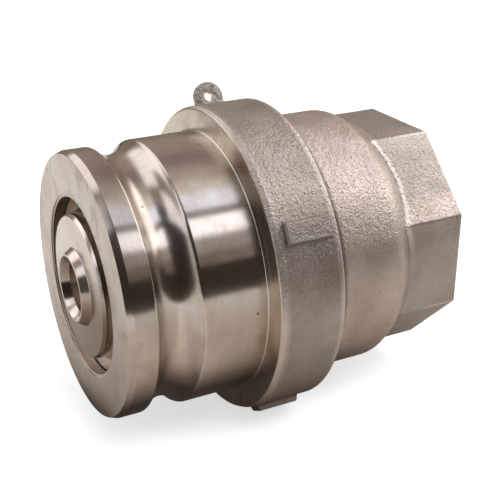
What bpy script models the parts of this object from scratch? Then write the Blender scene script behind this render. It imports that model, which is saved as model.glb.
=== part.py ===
"""Dry break coupling: the fixed half of a quick-release hose joint, with a spring-loaded poppet.

The turned nose has a cam groove outside and a seat inside. It screws into a cast body whose
octagon takes a threaded pipe. A spider, clamped between the two, guides the poppet's stem, and
a spring holds the poppet shut against the seat. Every piece here is turned, cast or bought on
its own and comes apart on a bench.

Units are metres. The flow axis runs along X, from the open nose at low X to the pipe socket at
high X. Each profile is drawn as (station, radius) points: a station is the distance behind the
nose's front face, and a radius is measured from the flow axis.
"""
import math

import bmesh
import bpy
from mathutils import Matrix, Vector

# Clearances that pieces keep from each other
FIT_GAP = 0.0003
BORE_CLEARANCE = 0.0003

# Turned nose
OPENING_RADIUS = 0.0393
OPENING_CHAMFER = 0.0008
LIP_LENGTH = 0.0050
SEAT_RING_WALL = 0.0074
CAVITY_STEP = 0.0020
NOSE_WALL = 0.0107
RIM_RELIEF = 0.0004
RIM_LEAD_IN_LENGTH = 0.0030
RIM_LEAD_IN_DROP = 0.0010
GROOVE_STATION = 0.0222
GROOVE_ARC = 0.0122
GROOVE_DEPTH = 0.0052
GROOVE_EDGE = 0.0008
NOSE_STANDS_OUT = 0.0617
SPIGOT_LENGTH = 0.0090
THREAD_STEP = 0.0025
THREAD_LENGTH = 0.0140
NOSE_END_CHAMFER = 0.0012

# Seat insert behind the lip of the nose
GASKET_THICKNESS = 0.0005
SEAT_RING_LENGTH = 0.0114
SEAT_LAND_LENGTH = 0.0062
CIRCLIP_THICKNESS = 0.0016
CIRCLIP_GRIP = 0.0012
CIRCLIP_WIDTH = 0.0036
CIRCLIP_OPENING = 24.0

# Seal between the nose and the cast body
BODY_SEAL_SECTION = 0.0032
BODY_SEAL_STATION = 0.0045
BODY_SEAL_WALL = 0.0013

# Cast body
COLLAR_WALL = 0.0103
COLLAR_LENGTH = 0.0303
COLLAR_FRONT_EDGE = 0.0026
COLLAR_REAR_EDGE = 0.0010
COLLAR_FILLET = 0.0030
MOUTH_CHAMFER = 0.0006
SPIDER_LEDGE = 0.0040
BARREL_WALL = 0.0070
BARREL_LENGTH = 0.0330
BARREL_EDGE = 0.0060
SHOULDER_LENGTH = 0.0076
SHOULDER_DROP = 0.0035
SHOULDER_EDGE = 0.0050
HEEL_LENGTH = 0.0060
HEEL_DROP = 0.0058
OCTAGON_LENGTH = 0.0323
OCTAGON_WALL = 0.0110
OCTAGON_EDGE = 0.0014
CAVITY_LENGTH = 0.0270
PIPE_SOCKET_RADIUS = 0.0416
PIPE_SOCKET_LENGTH = 0.0310
PIPE_TAPER = 1.0 / 32.0
PIPE_MOUTH_CHAMFER = 0.0026

# Raised pads and chain lug on the collar
PAD_ANGLES = (-60.0, 30.0, 210.0)
PAD_WIDTH = 0.0094
PAD_LENGTH = 0.0205
PAD_HEIGHT = 0.0028
PAD_SETBACK = 0.0046
PAD_EDGE = 0.0007
LUG_ANGLE = 120.0
LUG_THICKNESS = 0.0040
LUG_RADIUS = 0.0070
LUG_REACH = 0.0049
LUG_SETBACK = 0.0188
LUG_HOLE_RADIUS = 0.0025
LUG_EDGE = 0.0008
ROOT_DEPTH = 0.0020

# Poppet
POPPET_PROUD = 0.0008
POPPET_FACE_RADIUS = 0.0310
POPPET_FACE_CHAMFER = 0.0013
POPPET_FACE_CHAMFER_RISE = 0.0012
POPPET_LAND_LENGTH = 0.0035
HUB_HEIGHT = 0.0036
HUB_TOP_RADIUS = 0.0152
HUB_FOOT_RADIUS = 0.0175
HUB_FOOT_FILLET = 0.0010
PILOT_RADIUS = 0.0139
PILOT_CHAMFER = 0.0003
PILOT_DEPTH = 0.0110
POPPET_WEB = 0.0035
SEAT_CONE_LENGTH = 0.0015
POPPET_SEAL_SECTION = 0.0032
CLAMP_PLATE_THICKNESS = 0.0040
CLAMP_PLATE_OVERHANG = 0.0048

# Stem and what screws on it
STEM_RADIUS = 0.0080
STEM_CHAMFER = 0.0010
WASHER_THICKNESS = 0.0018
WASHER_RADIUS = 0.0128
LOCK_WASHER_SLIT = 8.0
NUT_HEIGHT = 0.0090
NUT_HALF_FLATS = 0.0120
NUT_EDGE = 0.0006
CASTLE_HEIGHT = 0.0036
CASTLE_SLOT = 0.0034
STEM_BEYOND_NUT = 0.0030
PIN_WIRE_RADIUS = 0.0006
PIN_EYE_RADIUS = 0.0018
PIN_TAIL = 0.0050
PIN_HOLE_RADIUS = 0.0017

# Spider, its bushes and the spring
SPIDER_RIM_LENGTH = 0.0064
SPIDER_RIM_WALL = 0.0070
SPIDER_ARMS = 4
SPIDER_ARM_THICKNESS = 0.0060
SPIDER_ARM_LENGTH = 0.0130
SPIDER_ARM_EDGE = 0.0015
SPIDER_HUB_RADIUS = 0.0140
SPIDER_HUB_AHEAD = 0.0050
SPIDER_HUB_BEHIND = 0.0150
SPIDER_FLANGE_RADIUS = 0.0235
SPIDER_FLANGE_LENGTH = 0.0045
BUSH_WALL = 0.0022
BUSH_LENGTH = 0.0110
BUSH_FLANGE_RADIUS = 0.0128
BUSH_FLANGE_THICKNESS = 0.0015
SPRING_SEAT_THICKNESS = 0.0016
SPRING_SEAT_WALL = 0.0080
SPRING_RADIUS = 0.0185
SPRING_WIRE_RADIUS = 0.0020
SPRING_TURNS = 8
SPRING_END_TURNS = 1.0

# How finely round pieces are faceted
ROUND_SEGMENTS = 48
STEM_SEGMENTS = 20
SEAL_SECTION_SIDES = 6
GROOVE_STEPS = 8
FILLET_STEPS = 2
LUG_STEPS = 12
HOLE_SIDES = 12
EYE_STEPS = 8
SPRING_POINTS_PER_TURN = 12
OCTAGON_SIDES = 8
NUT_SIDES = 6
SMOOTH_ANGLE = math.radians(32.0)
WELD = 1.0e-6
CUT_MARGIN = 0.0040

# Radii that follow from the values above
SEAT_RING_RADIUS = OPENING_RADIUS + SEAT_RING_WALL
SEAT_POCKET_RADIUS = SEAT_RING_RADIUS + FIT_GAP
CAVITY_RADIUS = SEAT_POCKET_RADIUS + CAVITY_STEP
NOSE_RADIUS = CAVITY_RADIUS + NOSE_WALL
RIM_RADIUS = NOSE_RADIUS - RIM_RELIEF
NOSE_THREAD_RADIUS = NOSE_RADIUS - THREAD_STEP
BODY_BORE_RADIUS = NOSE_RADIUS + FIT_GAP
BODY_THREAD_RADIUS = NOSE_THREAD_RADIUS + FIT_GAP
COLLAR_RADIUS = BODY_BORE_RADIUS + COLLAR_WALL
BODY_CAVITY_RADIUS = BODY_THREAD_RADIUS - SPIDER_LEDGE
BARREL_RADIUS = BODY_CAVITY_RADIUS + BARREL_WALL
OCTAGON_HALF_FLATS = PIPE_SOCKET_RADIUS + OCTAGON_WALL
POPPET_SEAL_RADIUS = POPPET_SEAL_SECTION / 2.0
BODY_SEAL_RADIUS = BODY_SEAL_SECTION / 2.0

# Stations that follow from the values above
SEAT_RING_FRONT = LIP_LENGTH + GASKET_THICKNESS + 2.0 * FIT_GAP
SEAT_RING_REAR = SEAT_RING_FRONT + SEAT_RING_LENGTH
SEAT_CONE_FRONT = SEAT_RING_FRONT + SEAT_LAND_LENGTH
CIRCLIP_FRONT = SEAT_RING_REAR + FIT_GAP
CIRCLIP_REAR = CIRCLIP_FRONT + CIRCLIP_THICKNESS
COLLAR_FRONT = NOSE_STANDS_OUT
COLLAR_REAR = COLLAR_FRONT + COLLAR_LENGTH
SPIGOT_REAR = COLLAR_FRONT + SPIGOT_LENGTH
NOSE_REAR = SPIGOT_REAR + THREAD_LENGTH
SPIDER_FRONT = NOSE_REAR + FIT_GAP
SPIDER_REAR = SPIDER_FRONT + SPIDER_RIM_LENGTH
LEDGE_STATION = SPIDER_REAR + FIT_GAP
BARREL_REAR = COLLAR_REAR + BARREL_LENGTH
SHOULDER_REAR = BARREL_REAR + SHOULDER_LENGTH
REAR_FACE = SHOULDER_REAR + OCTAGON_LENGTH
HUB_FRONT = -POPPET_PROUD - HUB_HEIGHT

# The poppet's cone runs parallel to the seat's, and its seal closes the gap between them
POPPET_RADIUS = OPENING_RADIUS - FIT_GAP
POPPET_CONE_FRONT = SEAT_CONE_FRONT + FIT_GAP
POPPET_CONE_REAR = POPPET_CONE_FRONT + SEAT_CONE_LENGTH
POPPET_SEAL_STATION = POPPET_CONE_REAR + FIT_GAP + POPPET_SEAL_RADIUS
SEAT_RADIUS_AT_SEAL = OPENING_RADIUS + POPPET_SEAL_STATION - SEAT_CONE_FRONT
POPPET_SEAL_PITCH_RADIUS = SEAT_RADIUS_AT_SEAL - (POPPET_SEAL_RADIUS + FIT_GAP) * math.sqrt(2.0)
POPPET_SPIGOT_RADIUS = POPPET_SEAL_PITCH_RADIUS - POPPET_SEAL_RADIUS - FIT_GAP
POPPET_REAR = POPPET_SEAL_STATION + POPPET_SEAL_RADIUS
PILOT_FLOOR = HUB_FRONT + PILOT_DEPTH
STEM_FRONT = PILOT_FLOOR + POPPET_WEB + FIT_GAP
CLAMP_PLATE_FRONT = POPPET_REAR + FIT_GAP
CLAMP_PLATE_REAR = CLAMP_PLATE_FRONT + CLAMP_PLATE_THICKNESS
LOCK_WASHER_FRONT = CLAMP_PLATE_REAR + FIT_GAP
POPPET_NUT_FRONT = LOCK_WASHER_FRONT + WASHER_THICKNESS + FIT_GAP
HUB_GUIDE_FRONT = SPIDER_FRONT - SPIDER_HUB_AHEAD
HUB_GUIDE_REAR = SPIDER_REAR + SPIDER_HUB_BEHIND
SPRING_SEAT_REAR = SPIDER_FRONT - FIT_GAP
SPRING_SEAT_FRONT = SPRING_SEAT_REAR - SPRING_SEAT_THICKNESS
FRONT_BUSH_FLANGE_REAR = HUB_GUIDE_FRONT - FIT_GAP
REAR_BUSH_FLANGE_FRONT = HUB_GUIDE_REAR + FIT_GAP
STOP_WASHER_FRONT = REAR_BUSH_FLANGE_FRONT + BUSH_FLANGE_THICKNESS + FIT_GAP
CASTLE_NUT_FRONT = STOP_WASHER_FRONT + WASHER_THICKNESS + FIT_GAP
CASTLE_NUT_REAR = CASTLE_NUT_FRONT + NUT_HEIGHT + CASTLE_HEIGHT
PIN_STATION = CASTLE_NUT_REAR - CASTLE_HEIGHT / 2.0
STEM_REAR = CASTLE_NUT_REAR + STEM_BEYOND_NUT

# Where the coupling lies: on its collar, centred over the origin
AXIS_HEIGHT = COLLAR_RADIUS
FRONT_FACE_X = -(REAR_FACE + HUB_FRONT) / 2.0


def clear_scene():
    """Remove every object, so that the script can be run again."""
    for old in list(bpy.data.objects):
        bpy.data.objects.remove(old, do_unlink=True)


def finish_material(name, colour, roughness, metallic):
    """A plain Principled material."""
    material = bpy.data.materials.new(name)
    material.use_nodes = True
    shader = material.node_tree.nodes["Principled BSDF"]
    shader.inputs["Base Color"].default_value = (*colour, 1.0)
    shader.inputs["Roughness"].default_value = roughness
    shader.inputs["Metallic"].default_value = metallic
    return material


def empty(name, parent=None, location=(0.0, 0.0, 0.0)):
    """An empty that other pieces hang from."""
    holder = bpy.data.objects.new(name, None)
    bpy.context.scene.collection.objects.link(holder)
    holder.parent = parent
    holder.location = location
    return holder


def rounded(corners):
    """Points of a profile, where a corner given as (station, radius, fillet) becomes an arc."""
    points = []
    for index, corner in enumerate(corners):
        here = Vector(corner[:2])
        if len(corner) < 3:
            points.append(here)
            continue
        back = Vector(corners[index - 1][:2]) - here
        ahead = Vector(corners[(index + 1) % len(corners)][:2]) - here
        half = back.angle(ahead) / 2.0
        reach = min(corner[2] / math.tan(half), 0.45 * back.length, 0.45 * ahead.length)
        fillet = reach * math.tan(half)
        centre = here + (back.normalized() + ahead.normalized()).normalized() * fillet / math.sin(half)
        first = here + back.normalized() * reach - centre
        last = here + ahead.normalized() * reach - centre
        sweep = first.angle_signed(last)
        for step in range(FILLET_STEPS + 1):
            points.append(centre + Matrix.Rotation(-sweep * step / FILLET_STEPS, 2) @ first)
    return [tuple(point) for point in points]


def arc(station, radius, size, start, end, steps):
    """Points on an arc about (station, radius), from start to end in degrees."""
    points = []
    for step in range(steps + 1):
        angle = math.radians(start + (end - start) * step / steps)
        points.append((station + size * math.cos(angle), radius + size * math.sin(angle)))
    return points


def circle(station, radius, size):
    """The outline of a small round hole about (station, radius)."""
    return arc(station, radius, size, 0.0, 360.0 * (HOLE_SIDES - 1) / HOLE_SIDES, HOLE_SIDES - 1)


def add_object(name, mesh, material, parent):
    """Put a mesh or a curve in the scene under its parent."""
    piece = bpy.data.objects.new(name, mesh)
    bpy.context.scene.collection.objects.link(piece)
    piece.parent = parent
    if material is None:
        piece.hide_render = True
        piece.display_type = "WIRE"
    else:
        mesh.materials.append(material)
    return piece


def mesh_from(name, shape):
    """Turn a bmesh into a smooth-shaded mesh that keeps its sharp edges."""
    bmesh.ops.recalc_face_normals(shape, faces=shape.faces)
    if shape.calc_volume(signed=True) < 0.0:
        bmesh.ops.reverse_faces(shape, faces=shape.faces)
    mesh = bpy.data.meshes.new(name)
    shape.to_mesh(mesh)
    shape.free()
    mesh.shade_smooth()
    mesh.set_sharp_from_angle(angle=SMOOTH_ANGLE)
    return mesh


def turned(name, profile, material, parent, segments=ROUND_SEGMENTS, sweep=360.0):
    """Spin a (station, radius) profile about the flow axis, all the way round or part of it."""
    shape = bmesh.new()
    verts = [shape.verts.new((station, 0.0, radius)) for station, radius in profile]
    on_axis = profile[0][1] == 0.0 and profile[-1][1] == 0.0
    pairs = list(zip(verts, verts[1:]))
    if not on_axis:
        pairs.append((verts[-1], verts[0]))
    edges = [shape.edges.new(pair) for pair in pairs]
    whole = sweep >= 360.0
    start = [] if whole else [shape.faces.new(verts)]
    bmesh.ops.spin(
        shape,
        geom=verts + edges + start,
        cent=(0.0, 0.0, 0.0),
        axis=(1.0, 0.0, 0.0),
        angle=math.radians(sweep),
        steps=segments,
        use_merge=whole,
    )
    bmesh.ops.remove_doubles(shape, verts=shape.verts, dist=WELD)
    return add_object(name, mesh_from(name, shape), material, parent)


def ring_profile(front, rear, inner, outer):
    """A plain rectangular section."""
    return [(front, inner), (front, outer), (rear, outer), (rear, inner)]


def prism(name, outline, thickness, material, parent, edge=0.0):
    """Extrude an outline in the XZ plane by thickness, centred on Y = 0, with bevelled edges."""
    shape = bmesh.new()
    verts = [shape.verts.new((x, -thickness / 2.0, z)) for x, z in outline]
    face = shape.faces.new(verts)
    grown = bmesh.ops.extrude_face_region(shape, geom=[face])
    moved = [item for item in grown["geom"] if isinstance(item, bmesh.types.BMVert)]
    bmesh.ops.translate(shape, verts=moved, vec=(0.0, thickness, 0.0))
    if edge > 0.0:
        bmesh.ops.recalc_face_normals(shape, faces=shape.faces)
        sharp = [item for item in shape.edges if item.calc_face_angle(0.0) > SMOOTH_ANGLE]
        bmesh.ops.bevel(shape, geom=sharp, offset=edge, segments=2, profile=0.5, affect="EDGES")
    return add_object(name, mesh_from(name, shape), material, parent)


def polygon_bar(name, front, rear, half_flats, sides, material, parent, edge):
    """A bar with a regular polygon section along X and bevelled edges, a flat facing each side."""
    shape = bmesh.new()
    corner_radius = half_flats / math.cos(math.pi / sides)
    made = bmesh.ops.create_circle(shape, cap_ends=True, radius=corner_radius, segments=sides)
    turn = Matrix.Rotation(math.pi / 2.0, 4, "Y") @ Matrix.Rotation(math.pi / sides, 4, "Z")
    bmesh.ops.transform(shape, matrix=Matrix.Translation((front, 0.0, 0.0)) @ turn, verts=made["verts"])
    grown = bmesh.ops.extrude_face_region(shape, geom=list(shape.faces))
    moved = [item for item in grown["geom"] if isinstance(item, bmesh.types.BMVert)]
    bmesh.ops.translate(shape, verts=moved, vec=(rear - front, 0.0, 0.0))
    bmesh.ops.recalc_face_normals(shape, faces=shape.faces)
    bmesh.ops.bevel(shape, geom=list(shape.edges), offset=edge, segments=2, profile=0.5, affect="EDGES")
    return add_object(name, mesh_from(name, shape), material, parent)


def combine(target, tool, operation):
    """Add a Boolean modifier that keeps Blender's exact solver."""
    modifier = target.modifiers.new(tool.name, "BOOLEAN")
    modifier.operation = operation
    modifier.object = tool
    modifier.solver = "EXACT"


def torus(name, station, radius, section_radius, material, parent):
    """A round sealing ring."""
    step = 360.0 / SEAL_SECTION_SIDES
    section = arc(station, radius, section_radius, 0.0, 360.0 - step, SEAL_SECTION_SIDES - 1)
    return turned(name, section, material, parent)


def build_nose(material, parent):
    """The machined nose: cam groove outside, seat pocket inside, male thread behind."""
    groove_centre = NOSE_RADIUS - GROOVE_DEPTH + GROOVE_ARC
    rim_side = 180.0 + math.degrees(math.asin((groove_centre - RIM_RADIUS) / GROOVE_ARC))
    body_side = 360.0 - math.degrees(math.asin((groove_centre - NOSE_RADIUS) / GROOVE_ARC))
    seal_front = COLLAR_FRONT + BODY_SEAL_STATION - BODY_SEAL_RADIUS - FIT_GAP
    seal_rear = seal_front + BODY_SEAL_SECTION + 2.0 * FIT_GAP
    seal_floor = BODY_BORE_RADIUS - BODY_SEAL_SECTION - 2.0 * FIT_GAP
    clip_floor = SEAT_POCKET_RADIUS + CIRCLIP_GRIP + FIT_GAP
    outside = [
        (0.0, OPENING_RADIUS + OPENING_CHAMFER),
        (0.0, RIM_RADIUS - RIM_LEAD_IN_DROP, GROOVE_EDGE),
        (RIM_LEAD_IN_LENGTH, RIM_RADIUS),
    ]
    groove = arc(GROOVE_STATION, groove_centre, GROOVE_ARC, rim_side, body_side, GROOVE_STEPS)
    behind = [
        (seal_front, NOSE_RADIUS),
        (seal_front, seal_floor),
        (seal_rear, seal_floor),
        (seal_rear, NOSE_RADIUS),
        (SPIGOT_REAR, NOSE_RADIUS),
        (SPIGOT_REAR, NOSE_THREAD_RADIUS),
        (NOSE_REAR - NOSE_END_CHAMFER, NOSE_THREAD_RADIUS),
        (NOSE_REAR, NOSE_THREAD_RADIUS - NOSE_END_CHAMFER),
        (NOSE_REAR, CAVITY_RADIUS),
        (CIRCLIP_REAR + FIT_GAP + CAVITY_STEP, CAVITY_RADIUS),
        (CIRCLIP_REAR + FIT_GAP + CAVITY_STEP, SEAT_POCKET_RADIUS),
        (CIRCLIP_REAR + FIT_GAP, SEAT_POCKET_RADIUS),
        (CIRCLIP_REAR + FIT_GAP, clip_floor),
        (CIRCLIP_FRONT - FIT_GAP / 2.0, clip_floor),
        (CIRCLIP_FRONT - FIT_GAP / 2.0, SEAT_POCKET_RADIUS),
        (LIP_LENGTH, SEAT_POCKET_RADIUS),
        (LIP_LENGTH, OPENING_RADIUS),
        (OPENING_CHAMFER, OPENING_RADIUS),
    ]
    return turned("nose_body", rounded(outside) + groove + behind, material, parent)


def build_seat(steel, spring_steel, rubber, parent):
    """The seat ring with its cone, the gasket in front of it and the circlip behind."""
    gasket_front = LIP_LENGTH + FIT_GAP
    gasket = ring_profile(
        gasket_front, gasket_front + GASKET_THICKNESS, OPENING_RADIUS + FIT_GAP, SEAT_RING_RADIUS
    )
    turned("seat_gasket", gasket, rubber, parent)
    cone_rear = OPENING_RADIUS + SEAT_RING_REAR - SEAT_CONE_FRONT
    seat = [
        (SEAT_RING_FRONT, OPENING_RADIUS),
        (SEAT_RING_FRONT, SEAT_RING_RADIUS),
        (SEAT_RING_REAR, SEAT_RING_RADIUS),
        (SEAT_RING_REAR, cone_rear),
        (SEAT_CONE_FRONT, OPENING_RADIUS),
    ]
    turned("seat_ring", seat, steel, parent)
    clip_outer = SEAT_POCKET_RADIUS + CIRCLIP_GRIP
    clip = ring_profile(CIRCLIP_FRONT, CIRCLIP_REAR, clip_outer - CIRCLIP_WIDTH, clip_outer)
    turned("seat_circlip", clip, spring_steel, parent, sweep=360.0 - CIRCLIP_OPENING)


def build_body_seal(rubber, parent):
    """The sealing ring in the nose's groove, inside the mouth of the cast body."""
    pitch_radius = BODY_BORE_RADIUS - FIT_GAP - BODY_SEAL_RADIUS
    torus("body_seal", COLLAR_FRONT + BODY_SEAL_STATION, pitch_radius, BODY_SEAL_RADIUS, rubber, parent)


def around_axis(piece, angle):
    """Turn a tool made above the axis to an angle, counted from the near side (-Y) upwards."""
    piece.rotation_euler = (math.radians(90.0 - angle), 0.0, 0.0)


def build_casting(material, parent):
    """The cast body: collar with pads and lug, barrel, and the octagon with the pipe socket."""
    outside = rounded([
        (COLLAR_FRONT, 0.0),
        (COLLAR_FRONT, COLLAR_RADIUS, COLLAR_FRONT_EDGE),
        (COLLAR_REAR, COLLAR_RADIUS, COLLAR_REAR_EDGE),
        (COLLAR_REAR, BARREL_RADIUS, COLLAR_FILLET),
        (BARREL_REAR, BARREL_RADIUS, BARREL_EDGE),
        (SHOULDER_REAR, BARREL_RADIUS - SHOULDER_DROP, SHOULDER_EDGE),
        (SHOULDER_REAR + HEEL_LENGTH, BARREL_RADIUS - SHOULDER_DROP - HEEL_DROP),
        (SHOULDER_REAR + HEEL_LENGTH, 0.0),
    ])
    casting = turned("body_casting", outside, material, parent)
    octagon = polygon_bar(
        "octagon_form", BARREL_REAR - CUT_MARGIN, REAR_FACE, OCTAGON_HALF_FLATS, OCTAGON_SIDES, None,
        parent, OCTAGON_EDGE,
    )
    combine(casting, octagon, "UNION")
    for number, angle in enumerate(PAD_ANGLES):
        pad_front = COLLAR_FRONT + PAD_SETBACK
        outline = [
            (pad_front, COLLAR_RADIUS - ROOT_DEPTH),
            (pad_front + PAD_LENGTH, COLLAR_RADIUS - ROOT_DEPTH),
            (pad_front + PAD_LENGTH, COLLAR_RADIUS + PAD_HEIGHT),
            (pad_front, COLLAR_RADIUS + PAD_HEIGHT),
        ]
        pad = prism(f"pad_form_{number}", outline, PAD_WIDTH, None, parent, PAD_EDGE)
        around_axis(pad, angle)
        combine(casting, pad, "UNION")
    lug_centre = (COLLAR_FRONT + LUG_SETBACK, COLLAR_RADIUS + LUG_REACH)
    lug_outline = arc(*lug_centre, LUG_RADIUS, 0.0, 180.0, LUG_STEPS)
    lug_outline.append((lug_centre[0] - LUG_RADIUS, COLLAR_RADIUS - ROOT_DEPTH))
    lug_outline.append((lug_centre[0] + LUG_RADIUS, COLLAR_RADIUS - ROOT_DEPTH))
    lug = prism("lug_form", lug_outline, LUG_THICKNESS, None, parent, LUG_EDGE)
    around_axis(lug, LUG_ANGLE)
    combine(casting, lug, "UNION")
    eye = prism(
        "lug_eye_cut", circle(*lug_centre, LUG_HOLE_RADIUS), LUG_THICKNESS + CUT_MARGIN, None, parent
    )
    around_axis(eye, LUG_ANGLE)
    combine(casting, eye, "DIFFERENCE")
    socket_floor = REAR_FACE - PIPE_SOCKET_LENGTH
    socket_floor_radius = PIPE_SOCKET_RADIUS - PIPE_SOCKET_LENGTH * PIPE_TAPER
    cavity_rear = LEDGE_STATION + CAVITY_LENGTH
    flare = PIPE_SOCKET_RADIUS + PIPE_MOUTH_CHAMFER
    bore = turned("bore_cut", [
        (COLLAR_FRONT - CUT_MARGIN, 0.0),
        (COLLAR_FRONT - CUT_MARGIN, BODY_BORE_RADIUS + MOUTH_CHAMFER + CUT_MARGIN),
        (COLLAR_FRONT + MOUTH_CHAMFER, BODY_BORE_RADIUS),
        (SPIGOT_REAR + BODY_SEAL_WALL, BODY_BORE_RADIUS),
        (SPIGOT_REAR + BODY_SEAL_WALL, BODY_THREAD_RADIUS),
        (LEDGE_STATION, BODY_THREAD_RADIUS),
        (LEDGE_STATION, BODY_CAVITY_RADIUS),
        (cavity_rear, BODY_CAVITY_RADIUS),
        (socket_floor, socket_floor_radius),
        (REAR_FACE - PIPE_MOUTH_CHAMFER, PIPE_SOCKET_RADIUS),
        (REAR_FACE + CUT_MARGIN, flare + CUT_MARGIN),
        (REAR_FACE + CUT_MARGIN, 0.0),
    ], None, parent)
    combine(casting, bore, "DIFFERENCE")
    return casting


def build_poppet(steel, rubber, parent):
    """The poppet head with its pilot hub, its seal, and the plate that clamps the seal."""
    land_front = -POPPET_PROUD + POPPET_FACE_CHAMFER
    land_radius = POPPET_FACE_RADIUS + POPPET_FACE_CHAMFER_RISE
    head = rounded([
        (PILOT_FLOOR, 0.0),
        (PILOT_FLOOR, PILOT_RADIUS),
        (HUB_FRONT + PILOT_CHAMFER, PILOT_RADIUS),
        (HUB_FRONT, PILOT_RADIUS + PILOT_CHAMFER),
        (HUB_FRONT, HUB_TOP_RADIUS),
        (-POPPET_PROUD, HUB_FOOT_RADIUS, HUB_FOOT_FILLET),
        (-POPPET_PROUD, POPPET_FACE_RADIUS),
        (land_front, land_radius),
        (land_front + POPPET_LAND_LENGTH, land_radius),
        (POPPET_CONE_FRONT, POPPET_RADIUS),
        (POPPET_CONE_REAR, POPPET_RADIUS + SEAT_CONE_LENGTH),
        (POPPET_CONE_REAR, POPPET_SPIGOT_RADIUS),
        (POPPET_REAR, POPPET_SPIGOT_RADIUS),
        (POPPET_REAR, STEM_RADIUS + BORE_CLEARANCE),
        (STEM_FRONT - FIT_GAP, STEM_RADIUS + BORE_CLEARANCE),
        (STEM_FRONT - FIT_GAP, 0.0),
    ])
    turned("poppet_head", head, steel, parent)
    torus("poppet_seal", POPPET_SEAL_STATION, POPPET_SEAL_PITCH_RADIUS, POPPET_SEAL_RADIUS, rubber, parent)
    plate_radius = POPPET_SPIGOT_RADIUS + CLAMP_PLATE_OVERHANG
    plate = [
        (CLAMP_PLATE_FRONT, STEM_RADIUS + BORE_CLEARANCE),
        (CLAMP_PLATE_FRONT, plate_radius),
        (CLAMP_PLATE_REAR - CLAMP_PLATE_THICKNESS / 2.0, plate_radius),
        (CLAMP_PLATE_REAR, plate_radius - CLAMP_PLATE_THICKNESS / 2.0),
        (CLAMP_PLATE_REAR, STEM_RADIUS + BORE_CLEARANCE),
    ]
    turned("seal_clamp_plate", plate, steel, parent)


def drilled(name, bar, station_from, station_to):
    """Cut the stem's clearance hole through a nut."""
    hole = turned(name, [
        (station_from - CUT_MARGIN, 0.0),
        (station_from - CUT_MARGIN, STEM_RADIUS + BORE_CLEARANCE),
        (station_to + CUT_MARGIN, STEM_RADIUS + BORE_CLEARANCE),
        (station_to + CUT_MARGIN, 0.0),
    ], None, bar.parent, STEM_SEGMENTS)
    combine(bar, hole, "DIFFERENCE")


def build_stem(steel, spring_steel, parent):
    """The stem, the nut that clamps the poppet, and the castle nut that stops the stem."""
    stem = turned("poppet_stem", [
        (STEM_FRONT, 0.0),
        (STEM_FRONT, STEM_RADIUS - STEM_CHAMFER),
        (STEM_FRONT + STEM_CHAMFER, STEM_RADIUS),
        (STEM_REAR - STEM_CHAMFER, STEM_RADIUS),
        (STEM_REAR, STEM_RADIUS - STEM_CHAMFER),
        (STEM_REAR, 0.0),
    ], steel, parent, STEM_SEGMENTS)
    hole_outline = circle(PIN_STATION, 0.0, PIN_HOLE_RADIUS)
    cross_hole = prism("pin_hole_cut", hole_outline, 2.0 * STEM_RADIUS + CUT_MARGIN, None, parent)
    combine(stem, cross_hole, "DIFFERENCE")

    washer_bore = STEM_RADIUS + BORE_CLEARANCE
    lock_washer = ring_profile(
        LOCK_WASHER_FRONT, LOCK_WASHER_FRONT + WASHER_THICKNESS, washer_bore, WASHER_RADIUS
    )
    turned("lock_washer", lock_washer, spring_steel, parent, STEM_SEGMENTS, 360.0 - LOCK_WASHER_SLIT)
    nut_rear = POPPET_NUT_FRONT + NUT_HEIGHT
    nut = polygon_bar(
        "poppet_nut", POPPET_NUT_FRONT, nut_rear, NUT_HALF_FLATS, NUT_SIDES, steel, parent, NUT_EDGE
    )
    drilled("poppet_nut_cut", nut, POPPET_NUT_FRONT, nut_rear)

    stop_washer = ring_profile(
        STOP_WASHER_FRONT, STOP_WASHER_FRONT + WASHER_THICKNESS, washer_bore, WASHER_RADIUS
    )
    turned("stop_washer", stop_washer, steel, parent, STEM_SEGMENTS)
    castle = polygon_bar(
        "castle_nut", CASTLE_NUT_FRONT, CASTLE_NUT_REAR, NUT_HALF_FLATS, NUT_SIDES, steel, parent, NUT_EDGE
    )
    drilled("castle_nut_cut", castle, CASTLE_NUT_FRONT, CASTLE_NUT_REAR)
    slot_front = CASTLE_NUT_REAR - CASTLE_HEIGHT
    slot_outline = [
        (slot_front, -CASTLE_SLOT / 2.0),
        (CASTLE_NUT_REAR + CUT_MARGIN, -CASTLE_SLOT / 2.0),
        (CASTLE_NUT_REAR + CUT_MARGIN, CASTLE_SLOT / 2.0),
        (slot_front, CASTLE_SLOT / 2.0),
    ]
    for number in range(NUT_SIDES // 2):
        slot = prism(
            f"castle_slot_{number}", slot_outline, 2.0 * NUT_HALF_FLATS + CUT_MARGIN, None, parent
        )
        slot.rotation_euler = (2.0 * math.pi * number / NUT_SIDES, 0.0, 0.0)
        combine(castle, slot, "DIFFERENCE")


def build_split_pin(material, parent):
    """The split pin: an eye, two legs through the stem, and tails bent out beyond the nut."""
    leg = NUT_HALF_FLATS + PIN_WIRE_RADIUS + FIT_GAP
    half_gap = PIN_WIRE_RADIUS + FIT_GAP / 2.0
    route = [(half_gap + PIN_TAIL, leg), (half_gap, leg), (half_gap, -leg)]
    eye_centre = -leg - PIN_EYE_RADIUS
    for step in range(EYE_STEPS + 1):
        angle = math.radians(60.0 - 300.0 * step / EYE_STEPS)
        route.append((PIN_EYE_RADIUS * math.cos(angle), eye_centre + PIN_EYE_RADIUS * math.sin(angle)))
    route += [(-half_gap, -leg), (-half_gap, leg), (-half_gap - PIN_TAIL, leg)]
    curve = bpy.data.curves.new("split_pin", "CURVE")
    curve.dimensions = "3D"
    curve.bevel_depth = PIN_WIRE_RADIUS
    curve.bevel_resolution = 1
    curve.use_fill_caps = True
    line = curve.splines.new("POLY")
    line.points.add(len(route) - 1)
    for point, (offset, across) in zip(line.points, route):
        point.co = (PIN_STATION, across, offset, 1.0)
    return add_object("split_pin", curve, material, parent)


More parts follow.
